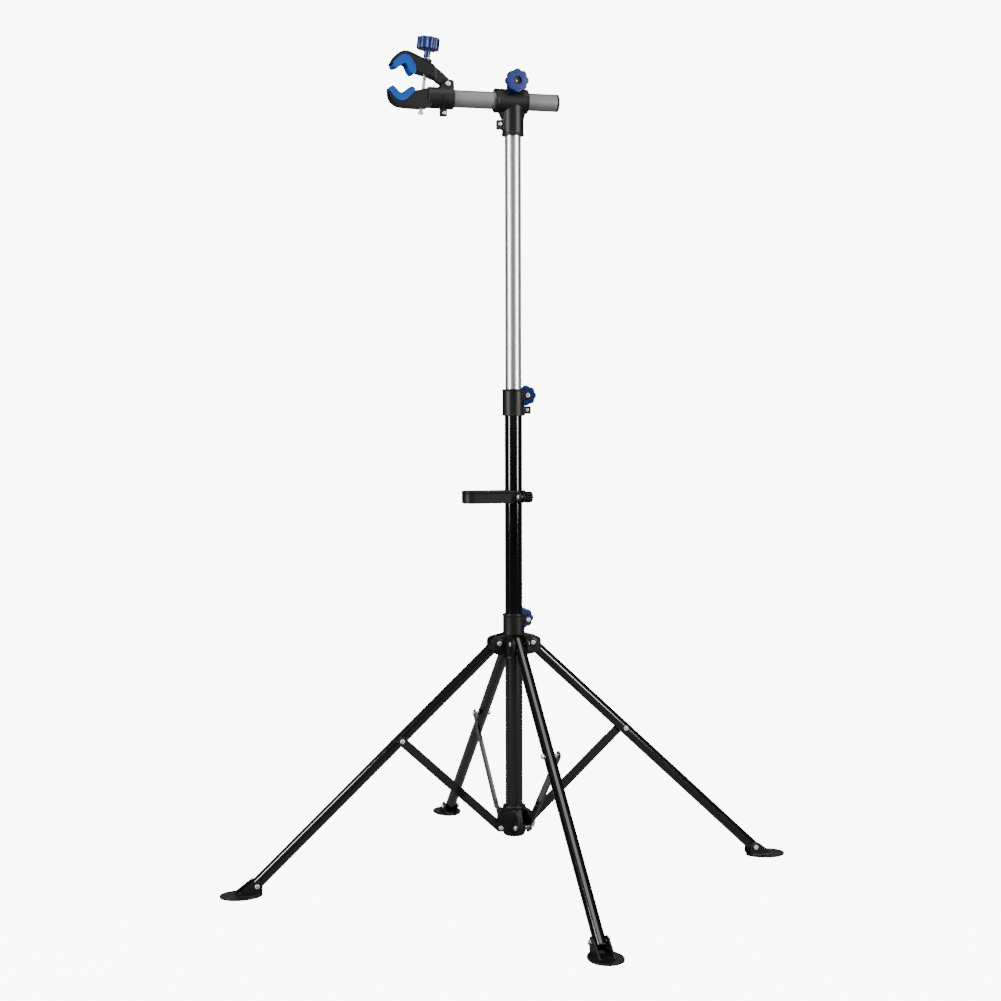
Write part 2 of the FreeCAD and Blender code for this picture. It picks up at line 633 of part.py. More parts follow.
# ---- tee and arm ------------------------------------------------------------
def tee_fitting():
    """Tee of two split sleeves: clamp ears above the arm, pinch lugs beside the mast."""
    across = cylinder(TEE_R, V(TEE_LEFT, 0, ARM_Z), OUT, TEE_RIGHT - TEE_LEFT)
    down = cylinder(TEE_LEG_R, V(0, 0, TEE_BOTTOM), UP, ARM_Z - TEE_BOTTOM)
    gusset = plate_xz([(TEE_LEFT + 2, ARM_Z - 12), (TEE_RIGHT - 2, ARM_Z - 12),
                       (TEE_LEG_R - 3, ARM_Z - 48), (3 - TEE_LEG_R, ARM_Z - 48)], -7, 7)
    ear_z = ARM_Z + TEE_BOLT_UP
    half = SLIT / 2
    pieces = [down, gusset]
    for low in (-half - TEE_EAR_T, half):
        block = box((-TEE_EAR_R, low, ARM_Z + ARM_R), (TEE_EAR_R, low + TEE_EAR_T, ear_z))
        pieces.append(fuse(block, cylinder(TEE_EAR_R, V(0, low, ear_z), SIDE, TEE_EAR_T)))
    for low in (-half - LUG_T, half):
        lug = box((TEE_SCREW_X, low, TEE_SCREW_Z - 11), (2 - TEE_LEG_R, low + LUG_T, TEE_SCREW_Z + 9))
        rounded = cylinder(LUG_R, V(TEE_SCREW_X, low, TEE_SCREW_Z + 9 - LUG_R), SIDE, LUG_T)
        foot_block = cylinder(LUG_R, V(TEE_SCREW_X, low, TEE_SCREW_Z - 11 + LUG_R), SIDE, LUG_T)
        pieces.append(fuse(lug, rounded, foot_block))
    body = fuse(across, *pieces)
    body = body.cut(cylinder(ARM_R + RUN, V(TEE_LEFT, 0, ARM_Z), OUT, TEE_RIGHT - TEE_LEFT))
    body = body.cut(cylinder(UPPER_R + RUN, V(0, 0, TEE_BOTTOM), UP, UPPER_TOP + 0.3 - TEE_BOTTOM))
    body = body.cut(box((TEE_LEFT - 1, -half, ARM_Z), (TEE_RIGHT + 1, half, ear_z + TEE_EAR_R + 1)))
    body = body.cut(box((TEE_SCREW_X - 9, -half, TEE_BOTTOM - 1), (0, half, TEE_SCREW_Z + 14)))
    body = body.cut(cylinder(BOLT_R, V(0, -30, ear_z), SIDE, 60))
    return body.cut(cylinder(SCREW_R, V(TEE_SCREW_X, -30, TEE_SCREW_Z), SIDE, 60))


def tee_half():
    return SLIT / 2 + TEE_EAR_T


def tee_clamp_bolt():
    return placed_on_tee(clamp_bolt(0, 0, tee_half(), KNOB_BOSS_H))


def placed_on_tee(shape):
    """Turns a clamp-bolt piece so that its knob end faces -Y and lifts it to the tee's bolt axis."""
    moved = turned(shape, 180)
    moved.translate(V(0, 0, ARM_Z + TEE_BOLT_UP))
    return moved


def tee_knob():
    return placed_on_tee(knob(V(0, tee_half() + KNOB_GAP, 0), SIDE, KNOB_R, KNOB_BOSS_H))


def tee_knob_insert():
    return placed_on_tee(insert(V(0, tee_half() + KNOB_GAP, 0), SIDE, KNOB_BOSS_H))


def tee_pinch_screw():
    return pinch_screw(TEE_SCREW_X, TEE_SCREW_Z, SLIT / 2 + LUG_T)


def arm_tube():
    return pipe(ARM_R, ARM_R - ARM_WALL, V(ARM_LEFT, 0, ARM_Z), OUT, ARM_RIGHT - ARM_LEFT)


def arm_end_cap():
    inner = cylinder(ARM_R - ARM_WALL, V(ARM_RIGHT - 14, 0, ARM_Z), OUT, 14)
    inner = inner.cut(cylinder(ARM_R - ARM_WALL - 2, V(ARM_RIGHT - 14, 0, ARM_Z), OUT, 14))
    lip = cylinder(ARM_R + 0.5, V(ARM_RIGHT, 0, ARM_Z), OUT, CAP_LIP)
    rim = [edge for edge in lip.Edges
           if edge.Closed and edge.CenterOfMass.x > ARM_RIGHT + CAP_LIP - 0.1]
    return fuse(inner, lip.makeFillet(1.5, rim))


# ---- tool tray --------------------------------------------------------------
def tool_tray():
    """Split ring on the mast with a long open loop and a plate with tool holes next to the mast."""
    mid = TRAY_BOTTOM + TRAY_H / 2
    loop = rounded_slab(TRAY_END, 10, TRAY_HALF, 16, TRAY_BOTTOM, TRAY_H)
    hollow = rounded_slab(TRAY_END + TRAY_WALL, -LOWER_R, TRAY_HALF - TRAY_WALL, 12,
                          TRAY_BOTTOM, TRAY_H)
    plate = box((TRAY_PLATE_END, -TRAY_HALF + 2, TRAY_BOTTOM + TRAY_H - TRAY_PLATE_T),
                (-LOWER_R - 1, TRAY_HALF - 2, TRAY_BOTTOM + TRAY_H))
    ring = cylinder(TRAY_HALF, V(0, 0, TRAY_BOTTOM), UP, TRAY_H)
    body = fuse(loop.cut(hollow), plate, ring)
    ears = []
    for left in (TRAY_EAR_X, TRAY_EAR_X + TRAY_EAR_T + TRAY_SLIT):
        ear = fuse(box((left, TRAY_BOLT_Y, TRAY_BOTTOM + 2),
                       (left + TRAY_EAR_T, 3 - TRAY_HALF, TRAY_BOTTOM + TRAY_H - 2)),
                   cylinder(TRAY_H / 2 - 2, V(left, TRAY_BOLT_Y, mid), OUT, TRAY_EAR_T))
        ears.append(ear)
    body = fuse(body, *ears)
    body = body.cut(cylinder(LOWER_R + RUN, V(0, 0, TRAY_BOTTOM - 1), UP, TRAY_H + 2))
    slit_x = TRAY_EAR_X + TRAY_EAR_T
    body = body.cut(box((slit_x, -60, TRAY_BOTTOM - 1),
                        (slit_x + TRAY_SLIT, -5, TRAY_BOTTOM + TRAY_H + 1)))
    for number in range(3):
        x = -LOWER_R - 12 - number * 14.5
        y = 9 if number % 2 else -9
        body = body.cut(cylinder(TOOL_HOLE_R, V(x, y, TRAY_BOTTOM), UP, TRAY_H + 1))
    return body.cut(cylinder(BOLT_R, V(-20, TRAY_BOLT_Y, mid), OUT, 60))


def rounded_slab(x_low, x_high, half, corner, z, height):
    """Slab with two rounded corners at its -X end."""
    points = [V(x_high, -half, z), V(x_high, half, z), V(x_low + corner, half, z),
              V(x_low, half - corner, z), V(x_low, corner - half, z), V(x_low + corner, -half, z)]
    bend = corner * (1 - math.sqrt(0.5))
    edges = [Part.LineSegment(points[0], points[1]).toShape(),
             Part.LineSegment(points[1], points[2]).toShape(),
             Part.Arc(points[2], V(x_low + bend, half - bend, z), points[3]).toShape(),
             Part.LineSegment(points[3], points[4]).toShape(),
             Part.Arc(points[4], V(x_low + bend, bend - half, z), points[5]).toShape(),
             Part.LineSegment(points[5], points[0]).toShape()]
    return Part.Face(Part.Wire(edges)).extrude(V(0, 0, height))


def tray_ear_end():
    return TRAY_EAR_X + 2 * TRAY_EAR_T + TRAY_SLIT


def tray_bolt():
    """Bolt along X with its head on the left ear; the thumb knob runs on its free end."""
    start = V(TRAY_EAR_X, TRAY_BOLT_Y, TRAY_BOTTOM + TRAY_H / 2)
    length = tray_ear_end() - TRAY_EAR_X + THUMB_H - 4
    return fuse(pan_head(PAN_R, PAN_H, start, OUT * -1), cylinder(BOLT_R, start, OUT, length))


def tray_knob():
    """Knurled thumb knob."""
    start = V(tray_ear_end() + GAP, TRAY_BOLT_Y, TRAY_BOTTOM + TRAY_H / 2)
    body = fuse(cylinder(THUMB_R - 3, start, OUT, 2),
                cylinder(THUMB_R, start + OUT * 2, OUT, THUMB_H - 2))
    for number in range(16):
        angle = 2 * math.pi * number / 16
        centre = start + V(2, (THUMB_R + 0.7) * math.cos(angle), (THUMB_R + 0.7) * math.sin(angle))
        body = body.cut(cylinder(1.5, centre, OUT, THUMB_H))
    return body.cut(cylinder(BOLT_R + RUN, start, OUT, THUMB_H - 3))


# ---- clamp head -------------------------------------------------------------
def fan(centre, low, high, down, up):
    """Slot that a leaning rod sweeps: the rod's lean runs from low to high degrees about centre."""
    leans = [SCREW_LEAN + math.radians(lean) for lean in (low, high)]
    pieces = []
    for angle in leans:
        direction = V(math.sin(angle), 0, math.cos(angle))
        pieces.append(cylinder(SLOT_HALF, centre - direction * down, direction, down + up))
    for reach in (up, -down):
        if reach != 0:
            corners = [(centre.x, centre.z)]
            corners += [(centre.x + reach * math.sin(angle), centre.z + reach * math.cos(angle))
                        for angle in leans]
            pieces.append(plate_xz(corners, -SLOT_HALF, SLOT_HALF))
    return fuse(*pieces)


def lifted(points):
    """Points given from the arm's axis, as points above the floor."""
    return [(x, ARM_Z + z) for x, z in points]


def band(points, half, y_half):
    """Rubber lip that follows a bent line, round at its ends and at its bend."""
    pieces = []
    for (x0, z0), (x1, z1) in zip(points[:-1], points[1:]):
        length = math.hypot(x1 - x0, z1 - z0)
        side_x = -(z1 - z0) / length * half
        side_z = (x1 - x0) / length * half
        pieces.append(plate_xz([(x0 + side_x, z0 + side_z), (x1 + side_x, z1 + side_z),
                                (x1 - side_x, z1 - side_z), (x0 - side_x, z0 - side_z)],
                               -y_half, y_half))
    for x, z in points:
        pieces.append(cylinder(half, V(x, -y_half, z), SIDE, 2 * y_half))
    return fuse(*pieces)


def lower_jaw_pad():
    return band(lifted(LOWER_PAD), LIP, PAD_HALF_Y)


def upper_jaw_pad():
    return band(lifted(UPPER_PAD), LIP + 0.5, PAD_HALF_Y)


def clamp_head():
    """Sleeve on the arm's end, fixed lower jaw, hinge ears and pinch lugs in one moulding."""
    sleeve = cylinder(HEAD_R, V(HEAD_LEFT, 0, ARM_Z), OUT, HEAD_RIGHT - HEAD_LEFT)
    jaw = plate_xz(lifted(LOWER_JAW), -JAW_HALF, JAW_HALF, {1: 12, 4: 8, 7: 8, 8: 12, 9: 20})
    wall = HINGE_Z + 9
    ears = []
    for low in (TONGUE_HALF + GAP, -TONGUE_HALF - GAP - 5.5):
        profile = [(HEAD_RIGHT, ARM_Z + 12), (HEAD_RIGHT, HINGE_Z + 4), (HEAD_RIGHT - 4, wall),
                   (HINGE_X - 3, wall), (HEAD_RIGHT - 29, ARM_Z + 25), (HEAD_RIGHT - 31, ARM_Z + 12)]
        ears.append(plate_xz(profile, low, low + 5.5, {2: 4, 3: 8}))
    lugs = []
    for low in (-SLIT / 2 - LUG_T, SLIT / 2):
        lugs.append(box((-161.5, low, ARM_Z - HEAD_R - 16), (-146.5, low + LUG_T, ARM_Z - ARM_R)))
    body = fuse(sleeve, jaw, *(ears + lugs))
    body = body.cut(cylinder(ARM_R + RUN, V(ARM_LEFT - GAP, 0, ARM_Z), OUT, HEAD_RIGHT - ARM_LEFT + 5))
    body = body.cut(box((-170, -SLIT / 2, ARM_Z - HEAD_R - 20), (HEAD_RIGHT + 1, SLIT / 2, ARM_Z)))
    pocket = TONGUE_HALF + GAP
    body = body.cut(box((HEAD_RIGHT - 35, -pocket, HINGE_Z - EYE_R - GAP),
                        (HEAD_RIGHT + 1, pocket, wall + 9)))
    body = body.cut(cylinder(BOLT_R, V(HINGE_X, -30, HINGE_Z), SIDE, 60))
    body = body.cut(cylinder(SCREW_R, V(-153, -30, head_screw_z()), SIDE, 60))
    body = body.cut(band(lifted(LOWER_PAD), LIP, PAD_HALF_Y))
    barrel_from = -BARREL_HALF - GAP
    barrel = cylinder(BARREL_R + RUN, V(NUT_X, barrel_from, NUT_Z), SIDE, JAW_HALF - barrel_from)
    body = body.cut(barrel)
    return body.cut(fan(NUT_AT, SWING_MIN, SWING_MAX, 40, 40))


def head_screw_z():
    return ARM_Z - HEAD_R - 9


def head_pinch_screw():
    return pinch_screw(-153, head_screw_z(), SLIT / 2 + LUG_T)


def jaw_hinge_pin():
    """Screw through both ears and the upper jaw's tongue, with its nut."""
    half = TONGUE_HALF + GAP + 5.5
    start = V(HINGE_X, -half, HINGE_Z)
    return Part.makeCompound([bolt(start, SIDE, 2 * half), nut(V(HINGE_X, half, HINGE_Z), SIDE)])


def upper_jaw():
    """Hooked upper jaw: narrow tongue at the hinge, wide body with a seat for the clamp screw."""
    rounding = {1: 20, 5: 5, 6: 5, 9: 8, 10: 10, 11: 10}
    body = plate_xz(lifted(UPPER_JAW), -JAW_HALF, JAW_HALF, rounding)
    neck = [(HINGE_X, HINGE_Z - EYE_R), (HINGE_X, HINGE_Z + EYE_R)]
    neck += lifted([(-160, 53), (-180, 68), (-190, 59), (-190, 45), (-177, 38.5), (-166, 29)])
    tongue = plate_xz(neck, -TONGUE_HALF, TONGUE_HALF)
    eye = cylinder(EYE_R, V(HINGE_X, -TONGUE_HALF, HINGE_Z), SIDE, 2 * TONGUE_HALF)
    boss = cylinder(11, SEAT_AT - SCREW_DIR * 25, SCREW_DIR, 22)
    shape = fuse(body, tongue, eye, boss)
    shape = shape.cut(cylinder(BOLT_R + RUN, V(HINGE_X, -30, HINGE_Z), SIDE, 60))
    shape = shape.cut(Part.makeSphere(DOME_R + GAP, SEAT_AT))
    shape = shape.cut(cylinder(DOME_R + GAP, SEAT_AT, SCREW_DIR, 20))
    shape = shape.cut(fan(SEAT_AT, LEAN_MIN, LEAN_MAX, 50, 0))
    return shape.cut(band(lifted(UPPER_PAD), LIP + 0.5, PAD_HALF_Y))


def barrel_nut():
    """Cross-drilled round nut that lets the clamp screw swing in the lower jaw."""
    body = cylinder(BARREL_R, V(NUT_X, -BARREL_HALF, NUT_Z), SIDE, 2 * BARREL_HALF)
    return body.cut(cylinder(ROD_R + RUN, NUT_AT - SCREW_DIR * 20, SCREW_DIR, 40))


def saddle_washer():
    """Domed washer under the knob's stem, seated in the upper jaw's spherical pocket."""
    dome = Part.makeSphere(DOME_R, SEAT_AT)
    dome = dome.cut(cylinder(DOME_R + 5, SEAT_AT - SCREW_DIR * 0.3, SCREW_DIR, 20))
    dome = dome.cut(cylinder(DOME_R + 5, SEAT_AT - SCREW_DIR * 20, SCREW_DIR, 13))
    return dome.cut(cylinder(ROD_R + RUN, SEAT_AT - SCREW_DIR * 20, SCREW_DIR, 40))


def clamp_rod():
    """Threaded rod from the knob down through both jaws."""
    bottom = NUT_AT - SCREW_DIR * (STOP_BELOW + 5)
    top = SEAT_AT + SCREW_DIR * (STEM_H + 10)
    return cylinder(ROD_R, bottom, SCREW_DIR, bottom.distanceToPoint(top))


def stop_nut():
    """Small nut at the rod's end, which keeps the rod in the barrel nut."""
    start = NUT_AT - SCREW_DIR * (STOP_BELOW + 4)
    return nut(start, SCREW_DIR, ROD_R, 11.0, 4.0)


def clamp_knob():
    """Lobed hand knob with a long stem, fixed on the rod's top end."""
    stem = Part.makeCylinder(STEM_R, STEM_H + 1)
    body = Part.Face(lobed_profile(TOP_KNOB_R, STEM_H)).extrude(V(0, 0, TOP_KNOB_H))
    shape = fuse(body, stem).cut(Part.makeCylinder(ROD_R, STEM_H + 10))
    shape.Placement = FreeCAD.Placement(SEAT_AT, FreeCAD.Rotation(UP, SCREW_DIR))
    return shape


# ---- every node -------------------------------------------------------------
NODES = {
    "lower_mast_tube": lower_mast_tube,
    "upper_mast_tube": upper_mast_tube,
    "slide_bush": slide_bush,
    "mid_collar": mid_collar,
    "mid_clamp_bolt": mid_clamp_bolt,
    "mid_pinch_screw": mid_pinch_screw,
    "mid_knob": mid_knob,
    "mid_knob_insert": mid_knob_insert,
    "bottom_hub": bottom_hub,
    "brace_bolt_set": brace_bolt_set,
    "leg_hub": leg_hub,
    "leg_pivot_bolts": leg_pivot_bolts,
    "hub_clamp_bolt": hub_clamp_bolt,
    "hub_knob": hub_knob,
    "hub_knob_insert": hub_knob_insert,
    "tee_fitting": tee_fitting,
    "tee_clamp_bolt": tee_clamp_bolt,
    "tee_knob": tee_knob,
    "tee_knob_insert": tee_knob_insert,
    "tee_pinch_screw": tee_pinch_screw,
    "arm_tube": arm_tube,
    "arm_end_cap": arm_end_cap,
    "tool_tray": tool_tray,
    "tray_bolt": tray_bolt,
    "tray_knob": tray_knob,
    "clamp_head": clamp_head,
    "lower_jaw_pad": lower_jaw_pad,
    "head_pinch_screw": head_pinch_screw,
    "jaw_hinge_pin": jaw_hinge_pin,
    "upper_jaw": upper_jaw,
    "upper_jaw_pad": upper_jaw_pad,
    "barrel_nut": barrel_nut,
    "saddle_washer": saddle_washer,
    "clamp_rod": clamp_rod,
    "stop_nut": stop_nut,
    "clamp_knob": clamp_knob,
}

LEG_NODES = {
    "leg_tube": leg_tube,
    "leg_plug": leg_plug,
    "leg_bolts": leg_bolts,
    "brace": brace_bar,
    "foot": foot,
}


def main():
    os.makedirs("parts", exist_ok=True)
    for name, make in NODES.items():
        make().exportStep("parts/" + name + ".step")
    for name, make in LEG_NODES.items():
        shape = make()
        for side, angle in SIDES.items():
            turned(shape, angle).exportStep("parts/" + name + "_" + side + ".step")


main()
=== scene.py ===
# %% [markdown]
# # A folding bicycle repair stand
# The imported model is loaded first, as a frame that never moves. Everything here stands in metres around it.
# The tubes, bolts and pins keep their own shapes and only get finishes. The moulded plastic, the knobs and the
# rubber are modelled again, because a moulding is known by its rounded edges, lobes, ribs and recesses.

# %% Load the frame
import json
import math

import bmesh
import bpy
from mathutils import Euler, Matrix, Vector


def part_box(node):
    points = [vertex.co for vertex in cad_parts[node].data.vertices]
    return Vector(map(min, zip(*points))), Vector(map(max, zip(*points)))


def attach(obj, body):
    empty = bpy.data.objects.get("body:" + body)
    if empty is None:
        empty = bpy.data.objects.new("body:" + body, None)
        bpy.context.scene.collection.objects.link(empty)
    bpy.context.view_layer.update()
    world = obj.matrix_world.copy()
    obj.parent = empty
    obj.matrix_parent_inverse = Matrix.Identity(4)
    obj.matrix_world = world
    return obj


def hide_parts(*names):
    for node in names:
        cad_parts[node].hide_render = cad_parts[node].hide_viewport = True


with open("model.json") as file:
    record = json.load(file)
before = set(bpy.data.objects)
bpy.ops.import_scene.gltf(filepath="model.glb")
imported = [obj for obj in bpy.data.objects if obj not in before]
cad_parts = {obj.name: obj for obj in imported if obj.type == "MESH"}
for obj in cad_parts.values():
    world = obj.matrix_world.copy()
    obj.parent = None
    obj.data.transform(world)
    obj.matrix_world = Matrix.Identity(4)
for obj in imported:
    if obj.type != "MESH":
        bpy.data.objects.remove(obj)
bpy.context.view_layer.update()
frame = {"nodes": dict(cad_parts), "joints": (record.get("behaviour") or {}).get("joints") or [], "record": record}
MM = 0.001


def joint_named(name):
    """One joint's entry in the frame, with its place and axis at rest."""
    return next(entry for entry in frame["joints"] if entry["name"] == name)


# %% [markdown]
# ## Wires
# A finish is a small graph of shader nodes. Written node by node it hides its own idea, so one class wraps a
# socket: arithmetic on it adds Math nodes, and one method adds every other node.

# %% Wire: a shader socket that takes arithmetic
class Wire:
    """One socket of a material's node tree."""

    def __init__(self, tree, socket=None):
        self.tree = tree
        self.socket = socket

    def node(self, kind, settings=None, inputs=None, output=0):
        """Adds a node, sets it up, feeds its sockets and gives one of its outputs."""
        made = self.tree.nodes.new("ShaderNode" + kind)
        for name, value in (settings or {}).items():
            setattr(made, name, value)
        for name, value in (inputs or {}).items():
            if isinstance(value, Wire):
                self.tree.links.new(value.socket, made.inputs[name])
            else:
                made.inputs[name].default_value = value
        return Wire(self.tree, made.outputs[output] if len(made.outputs) else None)

    def math(self, operation, first, second):
        return self.node("Math", {"operation": operation}, {0: first, 1: second})

    def __add__(self, other):
        return self.math("ADD", self, other)

    def __mul__(self, other):
        return self.math("MULTIPLY", self, other)

    def __sub__(self, other):
        return self.math("SUBTRACT", self, other)

    def __rsub__(self, other):
        return self.math("SUBTRACT", other, self)

    __radd__ = __add__
    __rmul__ = __mul__

    def mask(self, low, high):
        """0 below low, 1 above high, smooth between."""
        return self.node("MapRange", {"interpolation_type": "SMOOTHSTEP"},
                         {"Value": self, "From Min": low, "From Max": high})

    def paint(self, colour, other):
        """Colour where the mask is 0, the other where it is 1."""
        return self.node("Mix", {"data_type": "RGBA"}, {0: self, 6: colour, 7: other}, 2)

    def noise(self, per_metre, detail=3.0, roughness=0.55):
        """Cloudy grain: this wire is a place, per_metre how many clouds fit along one metre."""
        return self.node("TexNoise", None, {"Vector": self, "Scale": per_metre, "Detail": detail,
                                            "Roughness": roughness})

    def stretched(self, x, y, z):
        """The same place with each axis scaled, so that a grain becomes streaks."""
        return self.node("Mapping", None, {"Vector": self, "Scale": (x, y, z)})


print("one class carries every finish")

# %% [markdown]
# ## What every finish shares
# Real edges are never knife sharp, and they wear first. A Bevel node rounds the shading of an edge and, compared
# with the true normal, also tells where an edge is. That one mask drives the wear on each finish, and the rounded
# normal goes on into the bump, so that even a plain tube end catches light on its rim.

# %% A finish from colour, roughness and relief
def grey(value, tint=0.0):
    """A neutral colour, a little bluer for a positive tint."""
    return (value * (1 - tint), value, value * (1 + tint), 1.0)


def make_finish(name, recipe, relief=0.05, edge=0.5, **constants):
    """Makes a material. recipe(place, worn) gives colour, roughness and height; relief and edge are in mm."""
    material = bpy.data.materials.new(name)
    material.use_nodes = True
    tree = material.node_tree
    tree.nodes.clear()
    start = Wire(tree)
    place = start.node("TexCoord", output="Object")
    rounded = start.node("Bevel", {"samples": 4}, {"Radius": edge * MM})
    true_normal = start.node("NewGeometry", output="True Normal")
    facing = start.node("VectorMath", {"operation": "DOT_PRODUCT"}, {0: rounded, 1: true_normal}, "Value")
    worn = (1 - facing).mask(0.01, 0.12)
    colour, roughness, height = recipe(place, worn)
    bumped = start.node("Bump", None, {"Height": height, "Distance": relief * MM, "Strength": 1.0,
                                       "Normal": rounded})
    inputs = {"Base Color": colour, "Roughness": roughness, "Normal": bumped}
    inputs.update({key.replace("_", " "): value for key, value in constants.items()})
    shader = start.node("BsdfPrincipled", None, inputs)
    start.node("OutputMaterial", None, {"Surface": shader})
    return material


FINISHES = {}
print("finish maker ready")

# %% [markdown]
# ## Black powder coat
# The lower mast, legs and braces are steel tube and flat bar, dusted with black powder and baked. The coat is
# glossy with a faint orange peel, the clouds of which are two or three millimetres across. Fine hairline rubs run
# along the tubes, and the coat thins to a softer grey on the edges.

# %% Black powder coat
def powder_coat(place, worn):
    peel = place.noise(420, 2.0)
    rubs = place.stretched(1, 1, 0.06).noise(900, 2.0).mask(0.60, 0.74)
    dust = place.noise(28, 4.0).mask(0.48, 0.72)
    colour = (0.35 * worn + 0.08 * dust).paint(grey(0.0016, 0.03), grey(0.018, 0.02))
    roughness = 0.12 + 0.03 * peel + 0.05 * dust + 0.03 * rubs + 0.16 * worn
    return colour, roughness, peel + 0.15 * rubs


FINISHES["black_powder_coat"] = make_finish("black_powder_coat", powder_coat, relief=0.007, edge=0.5,
                                            Coat_Weight=1.0, Coat_Roughness=0.07, Specular_IOR_Level=0.25)
print("powder coat")

# %% [markdown]
# ## Moulded black plastic
# Hubs, collars, jaws and feet are glass-filled nylon: satin, with a fine spark-eroded grain from the mould and
# faint flow clouds. Handling polishes the edges and leaves them a little lighter.

# %% Moulded black plastic
def moulded_nylon(place, worn):
    grain = place.noise(2600, 2.0, 0.7)
    flow = place.stretched(1, 1, 0.35).noise(36, 5.0)
    scuffs = place.stretched(0.4, 1, 1).noise(340, 4.0).mask(0.60, 0.80)
    colour = (0.40 * worn + 0.16 * flow + 0.14 * scuffs).paint(grey(0.0020, 0.02), grey(0.018, 0.02))
    roughness = 0.33 + 0.10 * flow + 0.09 * grain - 0.08 * worn + 0.07 * scuffs
    return colour, roughness, grain + 0.4 * scuffs


FINISHES["black_plastic"] = make_finish("black_plastic", moulded_nylon, relief=0.020, edge=0.7,
                                        Specular_IOR_Level=0.30)
print("moulded plastic")

# %% [markdown]
# ## Anodised silver tube
# The upper mast is drawn aluminium, anodised satin. Drawing leaves long fine lines up the tube, so the grain is a
# noise squeezed along the axis. Where the collar and the tee slide on it the surface is rubbed a shade darker.

# %% Anodised silver tube
def satin_anodised(place, worn):
    lines = place.stretched(1, 1, 0.012).noise(1500, 3.0)
    clouds = place.stretched(1, 1, 0.3).noise(22, 3.0)
    rub = place.stretched(1, 1, 0.02).noise(260, 2.0).mask(0.56, 0.72)
    colour = (0.55 * clouds + 0.25 * rub).paint(grey(0.74, 0.012), grey(0.60, 0.02))
    roughness = 0.27 + 0.10 * lines + 0.05 * clouds + 0.05 * rub
    return colour, roughness, lines


FINISHES["silver_tube"] = make_finish("silver_tube", satin_anodised, relief=0.004, edge=0.4, Metallic=1.0)
print("silver tube")

# %% [markdown]
# ## Grey coated arm tube
# The clamp arm is aluminium tube under a flat grey coat, so its light is soft and without streaks. Sliding it in
# the tee leaves faint rings round it.

# %% Grey coated arm tube
def flat_grey(place, worn):
    grain = place.noise(1400, 3.0)
    clouds = place.noise(18, 4.0)
    rings = place.stretched(1, 0.02, 0.02).noise(320, 2.0).mask(0.60, 0.72)
    along = place.node("SeparateXYZ", None, {"Vector": place}) - 0.066
    ring = 1 - (along * along).mask(0.0, 0.0000006)
    colour = (0.35 * clouds + 0.30 * rings + 0.5 * ring).paint(grey(0.150, 0.03), grey(0.215, 0.02))
    roughness = 0.42 + 0.10 * grain + 0.08 * clouds - 0.06 * rings
    return colour, roughness, grain


FINISHES["grey_tube"] = make_finish("grey_tube", flat_grey, relief=0.010, edge=0.4, Metallic=0.35)
print("grey tube")

# %% [markdown]
# ## Blue knobs, blue rubber, brass and zinc
# The hand knobs are glossy dark blue plastic with shallow flow clouds and hairline scratches. The jaw pads are a
# brighter blue rubber, nearly matt, with a powdery bloom and a paler worn rim. The inserts are turned brass, with
# rings from the tool; their colour is painted a dark brown, a painted shade for the recess they sit in. Screws,
# nuts and pins are bright zinc, slightly cloudy, yellowed in the hollows.

# %% Knobs, rubber, brass, zinc
def knob_blue(place, worn):
    flow = place.noise(55, 4.0)
    hairs = place.stretched(1, 0.15, 1).noise(1200, 2.0).mask(0.62, 0.74)
    colour = (0.45 * flow + 0.35 * worn).paint((0.0008, 0.0075, 0.095, 1), (0.004, 0.034, 0.24, 1))
    return colour, 0.32 + 0.10 * flow + 0.06 * hairs + 0.05 * worn, flow + 0.2 * hairs


def pad_rubber(place, worn):
    grain = place.noise(1900, 3.0, 0.7)
    bloom = place.noise(45, 5.0)
    colour = (0.30 * bloom + 0.70 * worn).paint((0.0002, 0.040, 0.26, 1), (0.004, 0.10, 0.42, 1))
    return colour, 0.46 + 0.16 * bloom + 0.06 * grain, grain + 0.5 * bloom


def turned_brass_with_painted_shade(place, worn):
    rings = place.noise(900, 2.0)
    # Both brass colours are painted dark brown: a painted shade for the insert's recess, not the metal's own tone;
    # the rings are tool marks
    colour = (0.6 * rings).paint((0.030, 0.014, 0.004, 1), (0.10, 0.050, 0.016, 1))
    return colour, 0.42 + 0.2 * rings, rings


def bright_zinc(place, worn):
    spangle = place.noise(700, 3.0)
    tarnish = place.noise(120, 4.0).mask(0.45, 0.75)
    colour = (0.5 * tarnish).paint(grey(0.78, 0.01), (0.62, 0.58, 0.50, 1))
    return colour, 0.38 + 0.12 * spangle + 0.08 * tarnish - 0.06 * worn, spangle


FINISHES["blue_knob"] = make_finish("blue_knob", knob_blue, relief=0.02, edge=0.6, Coat_Weight=0.15,
                                    Coat_Roughness=0.15)
FINISHES["blue_rubber"] = make_finish("blue_rubber", pad_rubber, relief=0.03, edge=0.9,
                                      Specular_IOR_Level=0.20)
FINISHES["brass"] = make_finish("brass", turned_brass_with_painted_shade, relief=0.01, edge=0.3, Metallic=1.0)
FINISHES["zinc_steel"] = make_finish("zinc_steel", bright_zinc, relief=0.006, edge=0.35, Metallic=1.0)
print(sorted(FINISHES))

# %% [markdown]
# ## Finishes on the frame's own nodes
# The record names a finish for every node. Each node's slots take that finish, so nothing keeps its bare colour.

# %% Dress the frame
NODE_SLOT = {part["node"]: part["material_slot"] for part in frame["record"]["subparts"]}


def dress(piece, slot):
    """Gives a piece one finish in all its slots."""
    if not piece.data.materials:
        piece.data.materials.append(FINISHES[slot])
    for number in range(len(piece.data.materials)):
        piece.data.materials[number] = FINISHES[slot]


for name, node in frame["nodes"].items():
    dress(node, NODE_SLOT[name])
print("dressed", len(frame["nodes"]), "nodes")

# %% [markdown]
# ## Stage, lights and camera
# The floor is a plain pale disc under a white sky. Two tall soft boxes stand to the left and the right of the
# viewer: a round tube mirrors each one as a single bright line, which is what makes gloss read as gloss. A wide
# box above fills the tops, and a dim low card behind puts a sheen on faces that look up. The camera stands at
# chest height, turned towards the clamp side.

